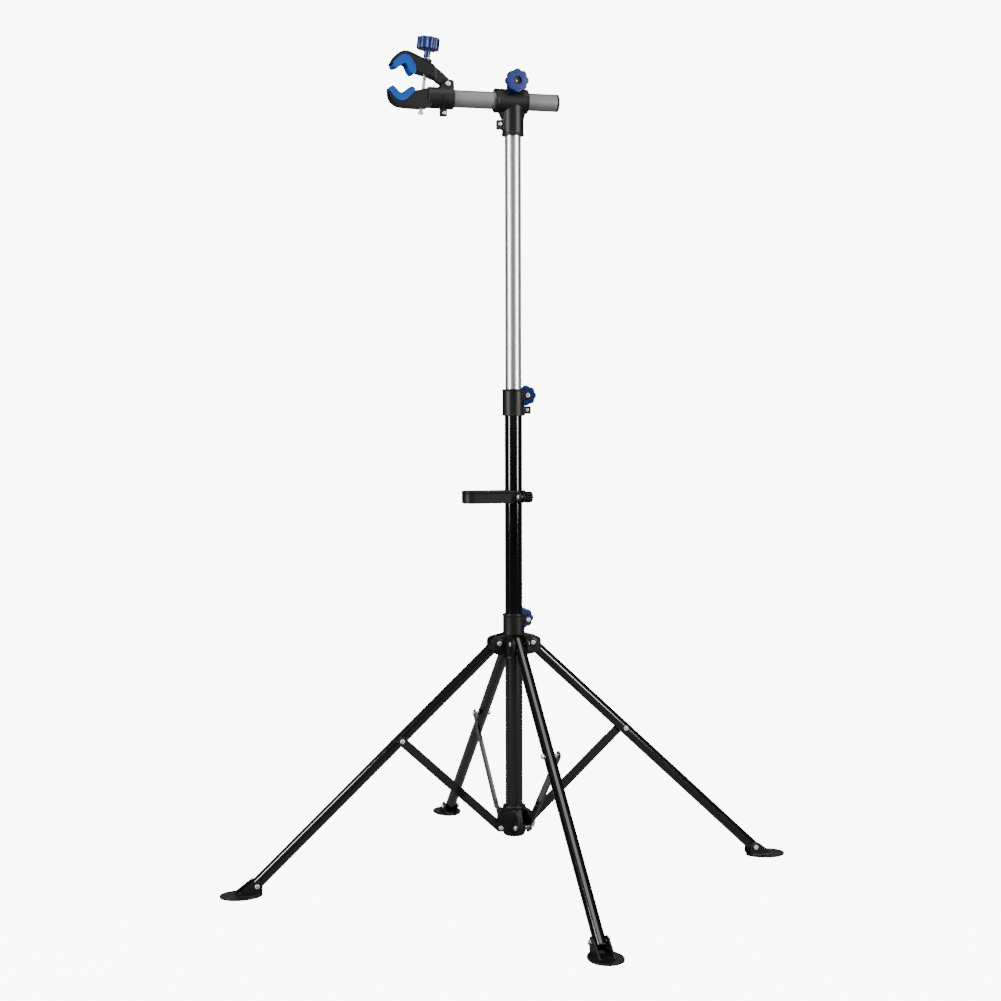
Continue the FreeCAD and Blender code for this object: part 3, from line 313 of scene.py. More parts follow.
# %% Floor and sky
def deselect():
    """Leaves nothing selected, so that an operator touches only what comes next."""
    if bpy.context.object and bpy.context.object.mode != "OBJECT":
        bpy.ops.object.mode_set(mode="OBJECT")
    bpy.ops.object.select_all(action="DESELECT")


deselect()
bpy.ops.mesh.primitive_circle_add(vertices=96, radius=40.0, fill_type="NGON")
floor = bpy.context.object
floor.name = "floor"
SKY_SEEN = 9.0        # brightness of the paper-white backdrop
SKY_LIGHT = 0.16      # the sky in front of and above the stand, in reflections and as fill
SKY_BEHIND = 0.008    # the sky behind the stand, dark so that the edges of gloss stay black
pale = bpy.data.materials.new("pale_floor")
pale.use_nodes = True
pale.node_tree.nodes.clear()
paper = Wire(pale.node_tree)
seen = paper.node("LightPath", output="Is Camera Ray")
matt = paper.node("BsdfDiffuse", None, {"Color": grey(0.20)})
glow = paper.node("Emission", None, {"Color": grey(1.0), "Strength": SKY_SEEN * seen})
paper.node("OutputMaterial", None, {"Surface": paper.node("AddShader", None, {0: matt, 1: glow})})
floor.data.materials.append(pale)

world = bpy.data.worlds.new("studio")
bpy.context.scene.world = world
world.use_nodes = True
world.node_tree.nodes.clear()
sky = Wire(world.node_tree)
seen = sky.node("LightPath", output="Is Camera Ray")
way = sky.node("TexCoord", output="Generated")
front = sky.node("VectorMath", {"operation": "DOT_PRODUCT"}, {0: way, 1: (-0.23, -0.78, 0.58)}, "Value")
light = SKY_BEHIND + (SKY_LIGHT - SKY_BEHIND) * front.mask(-0.3, 0.9)
strength = light * (1 - seen) + SKY_SEEN * seen
shine = sky.node("Background", None, {"Color": grey(1.0), "Strength": strength})
sky.node("OutputWorld", None, {"Surface": shine})
print("floor and sky")

# %% Camera
EYE = Vector((-1.0684, -3.6228, 1.053))
LOOK = Vector((0.27515, 0.95954, -0.05983))
TILT = Euler((0, 0, -0.0024)).to_quaternion()
bpy.ops.object.camera_add(location=EYE, rotation=(LOOK.to_track_quat("-Z", "Y") @ TILT).to_euler())
camera = bpy.context.object
camera.name = "camera"
camera.data.sensor_width = 36.0
camera.data.lens = 62.45
bpy.context.scene.camera = camera
print("camera", tuple(round(v, 3) for v in EYE))

# %% Soft boxes
MIDDLE = Vector((0, 0, 0.95))


def soft_box(name, bearing, height, distance, width, tall, power):
    """A soft box aimed at the stand: bearing in degrees from the camera's side, positive to its right."""
    toward = (Vector((EYE.x, EYE.y, 0)) - Vector((0, 0, 0))).normalized()
    toward.rotate(Euler((0, 0, math.radians(bearing))))
    spot = toward * distance
    spot.z = height
    aim = (MIDDLE - spot).to_track_quat("-Z", "Y").to_euler()
    bpy.ops.object.light_add(type="AREA", location=spot, rotation=aim)
    lamp = bpy.context.object
    lamp.name = name
    lamp.data.shape = "RECTANGLE"
    lamp.data.size = width
    lamp.data.size_y = tall
    lamp.data.energy = power
    return lamp


soft_box("left_box", -57, 1.75, 3.2, 0.60, 2.3, 150)
soft_box("right_box", 57, 1.75, 3.2, 0.60, 2.3, 150)
soft_box("top_box", 0, 4.2, 1.2, 3.0, 3.0, 90)
low_back = soft_box("low_back_card", 180, 1.5, 4.0, 3.4, 0.85, 9)
low_back.data.color = (0.85, 0.90, 1.0)
print("soft boxes and the low back card")

# %% [markdown]
# ## Modelling by hand, in code
# Every new piece starts as a primitive of the right size, in the right place, and is then shaped with the same
# operators that a hand would use. A few short helpers keep that readable: one adds a primitive, one opens edit
# mode, one picks faces or edges by where they are, and one closes the piece.

# %% Helpers for hand work
def add(kind, name, **sizes):
    """Adds one mesh primitive, with nothing else selected, and names it."""
    deselect()
    getattr(bpy.ops.mesh, "primitive_" + kind + "_add")(**sizes)
    piece = bpy.context.object
    piece.name = name
    return piece


def take(*pieces):
    """Selects these pieces and makes the first one active."""
    deselect()
    for piece in pieces:
        piece.select_set(True)
    bpy.context.view_layer.objects.active = pieces[0]


def edit(piece, element="FACE"):
    take(piece)
    bpy.ops.object.mode_set(mode="EDIT")
    bpy.ops.mesh.select_mode(type=element)
    bpy.ops.mesh.select_all(action="DESELECT")


def pick(piece, test, element="FACE"):
    """In edit mode, selects only the faces, edges or vertices whose middle and normal pass the test."""
    shape = bmesh.from_edit_mesh(piece.data)
    shape.normal_update()
    for item in {"FACE": shape.faces, "EDGE": shape.edges, "VERT": shape.verts}[element]:
        corners = [item.co] if element == "VERT" else [v.co for v in item.verts]
        middle = sum(corners, Vector()) / len(corners)
        direction = item.normal if element != "EDGE" else corners[1] - corners[0]
        item.select_set(bool(test(middle, direction)))
    shape.select_flush_mode()
    bmesh.update_edit_mesh(piece.data)


def leave():
    bpy.ops.object.mode_set(mode="OBJECT")


def fixed(piece):
    """Moves a piece's place, turn and size into its mesh."""
    take(piece)
    bpy.ops.object.transform_apply(location=True, rotation=True, scale=True)
    return piece


def modify(piece, kind, **settings):
    """Adds one modifier and applies it at once."""
    take(piece)
    modifier = piece.modifiers.new(kind.lower(), kind)
    for name, value in settings.items():
        setattr(modifier, name, value)
    bpy.ops.object.modifier_apply(modifier=modifier.name)
    return piece


def join(name, *pieces):
    """Joins several closed solids into one object; they may overlap."""
    take(*pieces)
    bpy.ops.object.join()
    pieces[0].name = name
    return pieces[0]


print("hand tools ready")

# %% Rods, blocks and outlines
def rod(name, start, end, radius, sides=48):
    """A round bar from start to end."""
    start, end = Vector(start), Vector(end)
    turn = (end - start).to_track_quat("Z", "Y").to_euler()
    piece = add("cylinder", name, vertices=sides, radius=radius, depth=(end - start).length,
                location=(start + end) / 2, rotation=turn)
    return fixed(piece)


def block(name, low, high):
    """A rectangular block from its lowest to its highest corner."""
    low, high = Vector(low), Vector(high)
    piece = add("cube", name, size=1.0, location=(low + high) / 2, scale=high - low)
    return fixed(piece)


def plate(name, outline, low, high, rounding=0.0, steps=4):
    """A plate cut from an (x, z) outline, from y = low to y = high; rounding is a share of each side."""
    piece = add("circle", name, vertices=len(outline), radius=1.0, fill_type="NGON")
    for vertex, (x, z) in zip(piece.data.vertices, outline):
        vertex.co = (x, low, z)
    edit(piece, "VERT")
    bpy.ops.mesh.select_all(action="SELECT")
    if rounding:
        bpy.ops.mesh.bevel(affect="VERTICES", offset_type="PERCENT", offset_pct=rounding, segments=steps)
        bpy.ops.mesh.select_all(action="SELECT")
    bpy.ops.mesh.extrude_region_move(TRANSFORM_OT_translate={"value": (0, high - low, 0)})
    bpy.ops.mesh.select_all(action="SELECT")
    bpy.ops.mesh.normals_make_consistent(inside=False)
    leave()
    return piece


def band(side, near, far):
    """Low and high y of what stands between near and far, on one side of the middle plane."""
    return sorted((side * near, side * far))


def cut(piece, *cutters):
    """Takes closed solids away from a piece."""
    for cutter in cutters:
        modify(piece, "BOOLEAN", operation="DIFFERENCE", object=cutter, solver="EXACT")
        bpy.data.objects.remove(cutter)
    return piece


def melt(piece, voxel, rounds=6, keep=0.35):
    """Casts overlapping solids into one moulding: a fine remesh, smoothed so that its edges turn round."""
    modify(piece, "REMESH", mode="VOXEL", voxel_size=voxel * MM)
    modify(piece, "SMOOTH", factor=0.5, iterations=rounds)
    modify(piece, "DECIMATE", ratio=keep)
    return piece


def complete(piece, body, *nodes, angle=32):
    """Cleans a piece, shades it, gives it the finish of the node it stands for, and sets it on its body."""
    edit(piece, "VERT")
    bpy.ops.mesh.select_all(action="SELECT")
    bpy.ops.mesh.remove_doubles(threshold=0.00001)
    bpy.ops.mesh.normals_make_consistent(inside=False)
    leave()
    fixed(piece)
    bpy.ops.object.shade_smooth_by_angle(angle=math.radians(angle))
    slot = NODE_SLOT[nodes[0]]
    piece.data.materials.clear()
    dress(piece, slot)
    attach(piece, body)
    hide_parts(*nodes)
    print(piece.name, "on", body, len(piece.data.polygons), "faces")


def middle_of(node):
    low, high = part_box(node)
    return (Vector(low) + Vector(high)) / 2


def size_of(node):
    low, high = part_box(node)
    return Vector(high) - Vector(low)


ARM_Z = middle_of("arm_tube").z
TUBE_R = size_of("lower_mast_tube").x / 2
ARM_R = size_of("arm_tube").z / 2
UPPER_R = size_of("upper_mast_tube").x / 2
LEG_R = 12.5 * MM
BOLT_R = 3.0 * MM
PINCH_R = 2.2 * MM    # the small pinch screws
RUN = 0.05 * MM       # clearance round a sliding tube or a pin
GAP = 0.4 * MM        # clearance between faces that move past each other
UP, OUT, SIDE = Vector((0, 0, 1)), Vector((1, 0, 0)), Vector((0, 1, 0))
print("arm at", round(ARM_Z, 4), "tube", round(TUBE_R, 4))

# %% [markdown]
# ## Hand knobs
# A star knob is one moulding: a body of eight lobes, a boss that meets the clamp's ear, a dished front with a
# brass insert at the bottom of its hole, and a hollow back where thin ribs run out between the lobes. The lobes
# are a cylinder whose sides are drawn in by narrow valleys, and each pocket of the back is a short rod taken away.

# %% Star knob
LOBES = 8


def drawn_in(piece, radius, share, half_step):
    """Scales the columns of side vertices that stand half_step from a lobe's peak."""
    def chosen(spot, normal):
        turn = (math.degrees(math.atan2(spot.y, spot.x)) + 360) % (360 / LOBES)
        away = min(turn, 360 / LOBES - turn)
        return abs(away - half_step) < 0.5 and math.hypot(spot.x, spot.y) > radius * 0.99
    pick(piece, chosen, "VERT")
    bpy.ops.transform.resize(value=(share, share, 1), center_override=(0, 0, 0))


def lobed_body(name, radius, bottom, top, depth=0.125):
    """The lobed body alone, with its axis on +Z; its valleys are drawn in by this share of the radius."""
    columns = LOBES * 8
    piece = fixed(add("cylinder", name, vertices=columns, radius=radius, depth=top - bottom,
                      location=(0, 0, (bottom + top) / 2)))
    edit(piece, "VERT")
    step = 360 / columns
    for number, share in ((4, 1.0), (3, 0.62), (2, 0.20), (1, 0.04)):
        drawn_in(piece, radius, 1 - depth * share, number * step)
    pick(piece, lambda spot, normal: abs(normal.z) > 0.9, "FACE")
    bpy.ops.mesh.bevel(offset=1.6 * MM, segments=4, profile=0.6, affect="EDGES")
    leave()
    return piece


def pockets(radius, low, high):
    """Eight short rods that hollow the lobes out from the back."""
    made = []
    for lobe in range(LOBES):
        turn = math.radians(lobe * 360 / LOBES)
        spot = Vector((math.cos(turn), math.sin(turn), 0)) * radius * 0.69
        made.append(rod("pocket", spot + UP * low, spot + UP * high, 4.7 * MM, 24))
    return made


def union(piece, other):
    modify(piece, "BOOLEAN", operation="UNION", object=other, solver="EXACT")
    bpy.data.objects.remove(other)
    return piece


def neck(radius, length):
    """The round boss or stem under the lobed body, its end softly bevelled."""
    piece = rod("neck", (0, 0, 0), (0, 0, length), radius, 48)
    return modify(piece, "BEVEL", width=0.8 * MM, segments=3, limit_method="ANGLE")


def place_on_joint(knob, name, back):
    """Turns a knob's +Z onto the joint's axis; it starts this far back from the joint's place."""
    joint = joint_named(name)
    axis = Vector(joint["axis"])
    start = Vector(joint["pos_m"]) - axis * back
    turn = axis.to_track_quat("Z", "Y").to_matrix().to_4x4()
    knob.matrix_world = Matrix.Translation(start) @ turn


def star_knob(node, joint, body, radius, boss, tall, back):
    """A star knob with a hollow back, a boss and a dished front round its insert."""
    top = boss + tall
    knob = lobed_body("star_" + node, radius, boss, top)
    cut(knob, *pockets(radius, boss - MM, top - 5 * MM))
    union(knob, neck(7.5 * MM, boss + tall * 0.6))
    dish = rod("dish", (0, 0, top - 5 * MM), (0, 0, top + MM), 9.2 * MM)
    hole = rod("hole", (0, 0, -MM), (0, 0, top), 6 * MM)
    cut(knob, dish, hole)
    place_on_joint(knob, joint, back)
    complete(knob, body, node)


EAR_HALF = 7.5 * MM       # half the width of a collar's two ears with their slit
TEE_EAR_HALF = 11.5 * MM
KNOB_GAP = 1.0 * MM
JOINT_AT = 20 * MM        # the knob joints lie this far from the clamp's middle plane
SIDE_BOSS = 15.9 * MM
star_knob("mid_knob", "mid_knob_turn", "mid_knob", 22.5 * MM, SIDE_BOSS, 17 * MM,
          JOINT_AT - EAR_HALF - KNOB_GAP)
star_knob("hub_knob", "hub_knob_turn", "hub_knob", 22.5 * MM, SIDE_BOSS, 17 * MM,
          JOINT_AT - EAR_HALF - KNOB_GAP)
star_knob("tee_knob", "tee_knob_turn", "tee_knob", 25 * MM, 10 * MM, 17 * MM,
          JOINT_AT - TEE_EAR_HALF - KNOB_GAP)

# %% [markdown]
# The clamp's own knob is taller, closed on top with a shallow dish, and stands on a long stem that presses the
# upper jaw down through a domed washer.

# %% Clamp knob
STEM = 18 * MM
CLAMP_KNOB_TALL = 24.5 * MM
knob = lobed_body("star_clamp_knob", 24.5 * MM, STEM, STEM + CLAMP_KNOB_TALL)
top = STEM + CLAMP_KNOB_TALL
cut(knob, rod("dish", (0, 0, top - 1.6 * MM), (0, 0, top + MM), 14 * MM, 64))
join("star_clamp_knob", knob, neck(7 * MM, STEM + 2 * MM))
place_on_joint(knob, "screw_turn", 0)
complete(knob, "clamp_screw", "clamp_knob")

# %% [markdown]
# ## Jaw pads
# The pads are moulded rubber, bent in a soft V that centres a round tube. Each is a flat outline with every corner
# rounded, drawn across the jaw, with a raised lip left standing round its two end faces.

# %% Jaw pads
def lifted(points):
    """(x, z) points in mm, from the mast and from the arm's axis, as metres above the floor."""
    return [(x * MM, ARM_Z + z * MM) for x, z in points]


UPPER_PAD = [(-269, 63), (-258.5, 76), (-248, 84), (-237, 85.5), (-229, 81), (-222.5, 70.7), (-216, 56.8),
             (-217.3, 47.6), (-223.5, 44), (-231.2, 49.5), (-235.8, 62.3), (-240, 67), (-245.2, 65.7),
             (-253.3, 58.8), (-264, 55.6)]
LOWER_PAD = [(-274.5, 11), (-267, -2), (-256.2, -11), (-245.4, -12.4), (-236, -7.8), (-226.5, 1.7), (-217.5, 11),
             (-221, 18), (-229.2, 18.3), (-238.5, 12.2), (-247, 3.6), (-253.5, 6.3), (-260, 14.5),
             (-267.4, 19.8), (-273, 17)]
PAD_HALF = 19 * MM


def jaw_pad(node, outline, body):
    pad = plate(node + "_rubber", lifted(outline), -PAD_HALF, PAD_HALF, rounding=42)
    edit(pad)
    pick(pad, lambda spot, normal: abs(normal.y) > 0.9)
    bpy.ops.mesh.inset(thickness=1.3 * MM, depth=0)
    bpy.ops.mesh.inset(thickness=0.3 * MM, depth=-0.8 * MM)
    leave()
    modify(pad, "BEVEL", width=0.5 * MM, segments=3, limit_method="ANGLE", angle_limit=math.radians(40))
    complete(pad, body, node)


jaw_pad("upper_jaw_pad", UPPER_PAD, "upper_jaw")
jaw_pad("lower_jaw_pad", LOWER_PAD, "head")

# %% [markdown]
# ## Upper jaw
# The upper jaw is a hooked lever: wide where it carries its pad, narrow where its tongue turns between the ears of
# the head. It is built from plates and melted into one moulding, and only then bored for its pin, for the domed
# washer and for the clamp screw, which needs room to lean as the jaw closes.

# %% Upper jaw
SEAT = joint_named("screw_turn")
SEAT_AT = Vector(SEAT["pos_m"])
SCREW_DIR = Vector(SEAT["axis"])
HINGE_AT = Vector(joint_named("jaw")["pos_m"])
NUT_AT = Vector(joint_named("screw_swing")["pos_m"])
JAW_HALF = 17 * MM
TONGUE_HALF = 8.5 * MM
UPPER_JAW = [(-271.8, 60), (-269, 68.4), (-262.4, 80.4), (-253, 89.5), (-241, 93.7), (-230, 92.5), (-215.3, 86.3),
             (-201.8, 80.3), (-188.3, 73.2), (-173, 63.4), (-173, 38), (-180.2, 40.5), (-191, 45.2),
             (-203.2, 47.2), (-215.4, 50.5), (-221, 60), (-228, 74), (-237, 81), (-247, 80), (-259, 72)]
PANEL = [(-262, 80), (-250, 89), (-236, 90.5), (-213, 82), (-190, 71), (-180, 62), (-182, 46), (-202, 51),
         (-213, 55), (-222, 74), (-236, 86), (-250, 84)]
PANEL_FLOOR = JAW_HALF - 0.9 * MM    # the shallow panel on each side of the jaw
TONGUE = [(-196, 76), (-188.3, 73.2), (-172, 63.4), (-157, 52.4), (-146, 42), (-140, 36.5), (-138.6, 29),
          (-141.5, 24), (-147, 22.6), (-154, 23.4), (-166, 30), (-178, 39.5), (-196, 46)]


def swept(name, centre, low, high, down, up):
    """The room that a leaning screw needs: its lean runs from low to high degrees about a centre."""
    parts = []
    for lean in (low, (low + high) / 2, high):
        way = SCREW_DIR.copy()
        way.rotate(Euler((0, math.radians(lean), 0)))
        parts.append(rod(name, centre - way * down, centre + way * up, 4.7 * MM, 32))
    return parts


body = plate("upper_jaw_moulding", lifted(UPPER_JAW), -JAW_HALF, JAW_HALF, rounding=34)
tongue = plate("tongue", lifted(TONGUE), -TONGUE_HALF, TONGUE_HALF, rounding=34)
collar = rod("collar", SEAT_AT - SCREW_DIR * 15 * MM, SEAT_AT - SCREW_DIR * 2.5 * MM, 12 * MM)
jaw = melt(join("upper_jaw_moulding", body, tongue, collar), 0.75)
dome = add("uv_sphere", "dome", segments=48, ring_count=24, radius=9.4 * MM, location=SEAT_AT)
well = rod("well", SEAT_AT, SEAT_AT + SCREW_DIR * 20 * MM, 9.4 * MM)
pin = rod("pin", HINGE_AT - SIDE * 30 * MM, HINGE_AT + SIDE * 30 * MM, BOLT_R + RUN)
cut(jaw, dome, well, pin, *swept("lean", SEAT_AT, -2.5, 8.0, 50 * MM, 0))
for side in (-1, 1):
    low, high = band(side, PANEL_FLOOR, PANEL_FLOOR + 5 * MM)
    cut(jaw, plate("panel", lifted(PANEL), low, high, rounding=36))
complete(jaw, "upper_jaw", "upper_jaw", angle=38)

# %% [markdown]
# ## Clamp head
# The head is the largest moulding: a sleeve on the arm's end, the fixed lower jaw, two ears for the hinge screw and
# two small lugs for the pinch screw below. The sleeve is split underneath so that the pinch screw can draw it in.

# %% Clamp head
LOWER_JAW = [(-180, 18), (-191.7, 17.8), (-203.3, 14.6), (-211, 12.4), (-217.5, 12), (-228, 5.5), (-238, -2),
             (-247, -6), (-256, -4), (-266, 6), (-272, 13), (-274, 4), (-271, -7), (-263, -17),
             (-251, -21.8), (-236, -23.4), (-180, -24.5)]
HEAD_LEFT, HEAD_RIGHT = -188 * MM, -133 * MM
HEAD_R = ARM_R + 4 * MM
ARM_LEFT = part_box("arm_tube")[0][0]
LUG_T = 4.5 * MM
SLIT = 3 * MM
EAR_T = 5.5 * MM
EAR_PROFILE = [(-133, 10), (-133, 33), (-137, 37.6), (-150, 37.6), (-161, 27), (-165, 19), (-166, 10)]

arm = Vector((0, 0, ARM_Z))
parts = [rod("sleeve", arm + OUT * HEAD_LEFT, arm + OUT * HEAD_RIGHT, HEAD_R, 96),
         rod("ring", arm + OUT * (HEAD_RIGHT - 27 * MM), arm + OUT * HEAD_RIGHT, HEAD_R + 0.9 * MM, 96),
         plate("lower_jaw", lifted(LOWER_JAW), -JAW_HALF, JAW_HALF, rounding=34)]
for side in (-1, 1):
    low, high = band(side, TONGUE_HALF + GAP, TONGUE_HALF + GAP + EAR_T)
    parts.append(plate("ear", lifted(EAR_PROFILE), low, high, rounding=30))
    low, high = band(side, SLIT / 2, SLIT / 2 + LUG_T)
    parts.append(block("lug", (-161.5 * MM, low, ARM_Z - HEAD_R - 16 * MM),
                       (-146.5 * MM, high, ARM_Z - ARM_R)))
head = melt(join("clamp_head_moulding", *parts), 0.8)
pocket = TONGUE_HALF + GAP
screw_z = ARM_Z - HEAD_R - 9 * MM
cut(head,
    rod("bore", arm + OUT * (ARM_LEFT - GAP), arm + OUT * -128 * MM, ARM_R + RUN, 96),
    block("slit", (-170 * MM, -SLIT / 2, ARM_Z - 45 * MM), (-132 * MM, SLIT / 2, ARM_Z)),
    block("pocket", (HEAD_RIGHT - 36 * MM, -pocket, HINGE_AT.z - 6.6 * MM),
          (HEAD_RIGHT + MM, pocket, HINGE_AT.z + 18 * MM)),
    rod("pin", HINGE_AT - SIDE * 30 * MM, HINGE_AT + SIDE * 30 * MM, BOLT_R),
    rod("pinch", (-153 * MM, -30 * MM, screw_z), (-153 * MM, 30 * MM, screw_z), PINCH_R),
    rod("barrel", NUT_AT - SIDE * 12.4 * MM, NUT_AT + SIDE * 20 * MM, 8.05 * MM),
    *swept("swing", NUT_AT, -10.6, 3.2, 40 * MM, 40 * MM))
complete(head, "head", "clamp_head", angle=38)

# %% [markdown]
# ## Split collars and lugs
# Every clamp on the stand works the same way: a sleeve with a slit, and a pair of ears that a bolt draws together.
# The collars are turned round the mast's axis, so one helper lays the ears out on the +X side.

# %% Mid collar
COLLAR_R = TUBE_R + 5 * MM
BOLT_OUT = COLLAR_R + 6.5 * MM
LUG_OUT = COLLAR_R + 5.5 * MM
CLAMP_EAR_T = 6 * MM


def height_of(name):
    """The height of a joint above the floor."""
    return joint_named(name)["pos_m"][2]


def ears(reach, z, radius, thick, square=False):
    """Two ears, one on each side of the slit, round on their ends or square."""
    parts = []
    for side in (-1, 1):
        low, high = band(side, SLIT / 2, SLIT / 2 + thick)
        end = reach + radius if square else reach
        parts.append(block("ear", (TUBE_R * 0.97, low, z - radius), (end, high, z + radius)))
        if not square:
            parts.append(rod("ear", (reach, low, z), (reach, high, z), radius))
    return parts


def upright(name, bottom, top, radius, sides=96):
    """A round bar on the mast's axis."""
    return rod(name, (0, 0, bottom), (0, 0, top), radius, sides)


def across(name, x, z, radius):
    """A round bar along Y, used to bore a bolt hole."""
    return rod(name, (x, -40 * MM, z), (x, 40 * MM, z), radius)


MID_LOW, MID_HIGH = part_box("mid_collar")[0][2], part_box("mid_collar")[1][2]
LOWER_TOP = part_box("lower_mast_tube")[1][2]
bolt_z = height_of("mid_knob_turn")
lug_z = MID_LOW + 12.5 * MM
collar = join("mid_collar_moulding", upright("sleeve", MID_LOW, MID_HIGH, COLLAR_R),
              upright("top_ring", MID_HIGH - 3.5 * MM, MID_HIGH, COLLAR_R + 0.9 * MM),
              upright("low_ring", MID_LOW, MID_LOW + 3.5 * MM, COLLAR_R + 0.9 * MM),
              *ears(BOLT_OUT, bolt_z, 9 * MM, CLAMP_EAR_T),
              *ears(LUG_OUT, lug_z, 8.5 * MM, LUG_T, square=True))
melt(collar, 0.8)
cut(collar, upright("bore", MID_LOW - MM, LOWER_TOP, TUBE_R),
    upright("guide", MID_LOW - MM, MID_HIGH + MM, UPPER_R + RUN),
    block("slit", (0, -SLIT / 2, MID_LOW - MM), (45 * MM, SLIT / 2, MID_HIGH + MM)),
    across("bolt", BOLT_OUT, bolt_z, BOLT_R), across("screw", LUG_OUT, lug_z, PINCH_R))
collar.rotation_euler.z = math.radians(-11)
fixed(collar)
complete(collar, "mast", "mid_collar", angle=38)

# %% [markdown]
# ## Leg hub
# The upper hub slides on the mast. Below its clamp collar stand four forks, one for each leg. One fork is built on
# the +X side and turned three times round the mast. Each cheek carries a low round rim that seats the bolt's head.

# %% Leg hub
HUB_Z = height_of("hub_level")
HUB_LOW, HUB_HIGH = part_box("leg_hub")[0][2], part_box("leg_hub")[1][2]
PIVOT_OUT = TUBE_R + 19 * MM
CORE_R = TUBE_R + 2.6 * MM
CHEEK_T = 5 * MM
CHEEK_IN = LEG_R + 0.8 * MM


def spun(piece):
    """The piece and three copies turned round the mast, each with its own mesh."""
    made = [piece]
    for quarter in (1, 2, 3):
        take(piece)
        bpy.ops.object.duplicate()
        copy = bpy.context.object
        copy.rotation_euler.z = math.radians(90 * quarter)
        made.append(fixed(copy))
    return made


collar_low = HUB_Z + LEG_R + 4 * MM
cheek = [(8 * MM, collar_low + 3 * MM), (CORE_R + 2 * MM, collar_low + 3 * MM), (57 * MM, HUB_Z + 12 * MM),
         (57 * MM, HUB_Z - 21 * MM), (8 * MM, HUB_Z - 30 * MM)]
cheeks = []
for side in (-1, 1):
    low, high = band(side, CHEEK_IN, CHEEK_IN + CHEEK_T)
    cheeks.append(plate("cheek", cheek, low, high, rounding=24))
    face = side * (CHEEK_IN + CHEEK_T)
    cheeks.append(rod("seat", (PIVOT_OUT, face - side * 2 * MM, HUB_Z), (PIVOT_OUT, face + side * MM, HUB_Z),
                      8.8 * MM))
fork = join("fork", *cheeks)
bolt_z = height_of("hub_knob_turn")
hub = join("leg_hub_moulding", upright("core", HUB_LOW, HUB_HIGH, CORE_R),
           upright("collar", collar_low, HUB_HIGH, COLLAR_R),
           upright("top_ring", HUB_HIGH - 3.5 * MM, HUB_HIGH, COLLAR_R + 0.9 * MM),
           upright("low_ring", HUB_LOW, HUB_LOW + 4 * MM, CORE_R + 1.2 * MM),
           *ears(BOLT_OUT, bolt_z, 9 * MM, CLAMP_EAR_T), *spun(fork))
melt(hub, 0.9)
seats = []
for side in (-1, 1):
    face = side * (CHEEK_IN + CHEEK_T)
    seats.append(rod("seat_cut", (PIVOT_OUT, face, HUB_Z), (PIVOT_OUT, face + side * 3 * MM, HUB_Z),
                     6.3 * MM, 32))
seats.append(across("pivot", PIVOT_OUT, HUB_Z, BOLT_R))
holes = spun(join("seat_cuts", *seats))
cut(hub, upright("bore", HUB_LOW - MM, HUB_HIGH + MM, TUBE_R + RUN),
    block("slit", (0, -SLIT / 2, collar_low), (45 * MM, SLIT / 2, HUB_HIGH + MM)),
    across("bolt", BOLT_OUT, bolt_z, BOLT_R), *holes)
complete(hub, "leg_hub", "leg_hub", angle=38)

# %% [markdown]
# ## Bottom hub
# The bottom hub is a closed cup with a rounded foot and a rim. Each brace turns between a thick lug and a thinner
# outer cheek, and the cheek hides the end of the bar.

# %% Bottom hub
BASE_Z = height_of("leg_fold")
BASE_LOW, BASE_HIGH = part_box("bottom_hub")[0][2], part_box("bottom_hub")[1][2]
LUG_R = 9.5 * MM
CHEEK_FROM, CHEEK_TO = 21.9 * MM, 26.4 * MM
cup = upright("cup", BASE_LOW, BASE_HIGH, COLLAR_R)
edit(cup, "EDGE")
pick(cup, lambda spot, way: spot.z < BASE_LOW + 0.1 * MM, "EDGE")
bpy.ops.mesh.bevel(offset=6 * MM, segments=6, affect="EDGES")
leave()
edge = PIVOT_OUT + LUG_R
outline = [(4 * MM, BASE_Z - 12 * MM), (PIVOT_OUT - 5 * MM, BASE_Z - LUG_R),
           (edge - 2 * MM, BASE_Z - LUG_R + 3 * MM), (edge, BASE_Z), (edge, BASE_Z + 23 * MM),
           (COLLAR_R + 4 * MM, BASE_HIGH - 10 * MM),
           (4 * MM, BASE_HIGH - 10 * MM)]
web = [(TUBE_R + MM, BASE_HIGH - 10 * MM), (COLLAR_R + MM, BASE_HIGH - 10 * MM), (edge, BASE_Z),
       (TUBE_R + MM, BASE_Z)]
lug = join("lug", block("lug", (TUBE_R + MM, -6 * MM, BASE_Z - LUG_R), (PIVOT_OUT, 13 * MM, BASE_Z + LUG_R)),
           rod("round", (PIVOT_OUT, -6 * MM, BASE_Z), (PIVOT_OUT, 13 * MM, BASE_Z), LUG_R),
           plate("web", web, -2 * MM, 9 * MM), plate("cheek", outline, CHEEK_FROM, CHEEK_TO, rounding=16))
hub = join("bottom_hub_moulding", cup,
           upright("rim", BASE_HIGH - 8 * MM, BASE_HIGH - 2 * MM, COLLAR_R + 1.5 * MM), *spun(lug))
melt(hub, 0.9)
cut(hub, upright("bore", BASE_LOW + 6 * MM, BASE_HIGH + MM, TUBE_R),
    *spun(rod("pivot", (PIVOT_OUT, -30 * MM, BASE_Z), (PIVOT_OUT, 40 * MM, BASE_Z), BOLT_R)))
complete(hub, "mast", "bottom_hub", angle=38)

# %% [markdown]
# ## Feet
# A foot is an oval pad with a raised rim and two ears that slope down towards the toe, where a small hole takes a
# screw into the floor. It is modelled once on the +X leg; the other three are copies turned round the mast.

# %% Feet
FOOT_AT = joint_named("foot_right_tilt")["pos_m"]
FOOT_OUT, FOOT_Z = FOOT_AT[0], FOOT_AT[2]
EAR_IN = LEG_R + 0.7 * MM
FOOT_EAR_T = 4 * MM


def slab(name, outline, bottom, top):
    """A flat plate from an (x, y) outline, from z = bottom to z = top."""
    piece = plate(name, outline, bottom, top)
    piece.rotation_euler.x = math.radians(90)
    return fixed(piece)


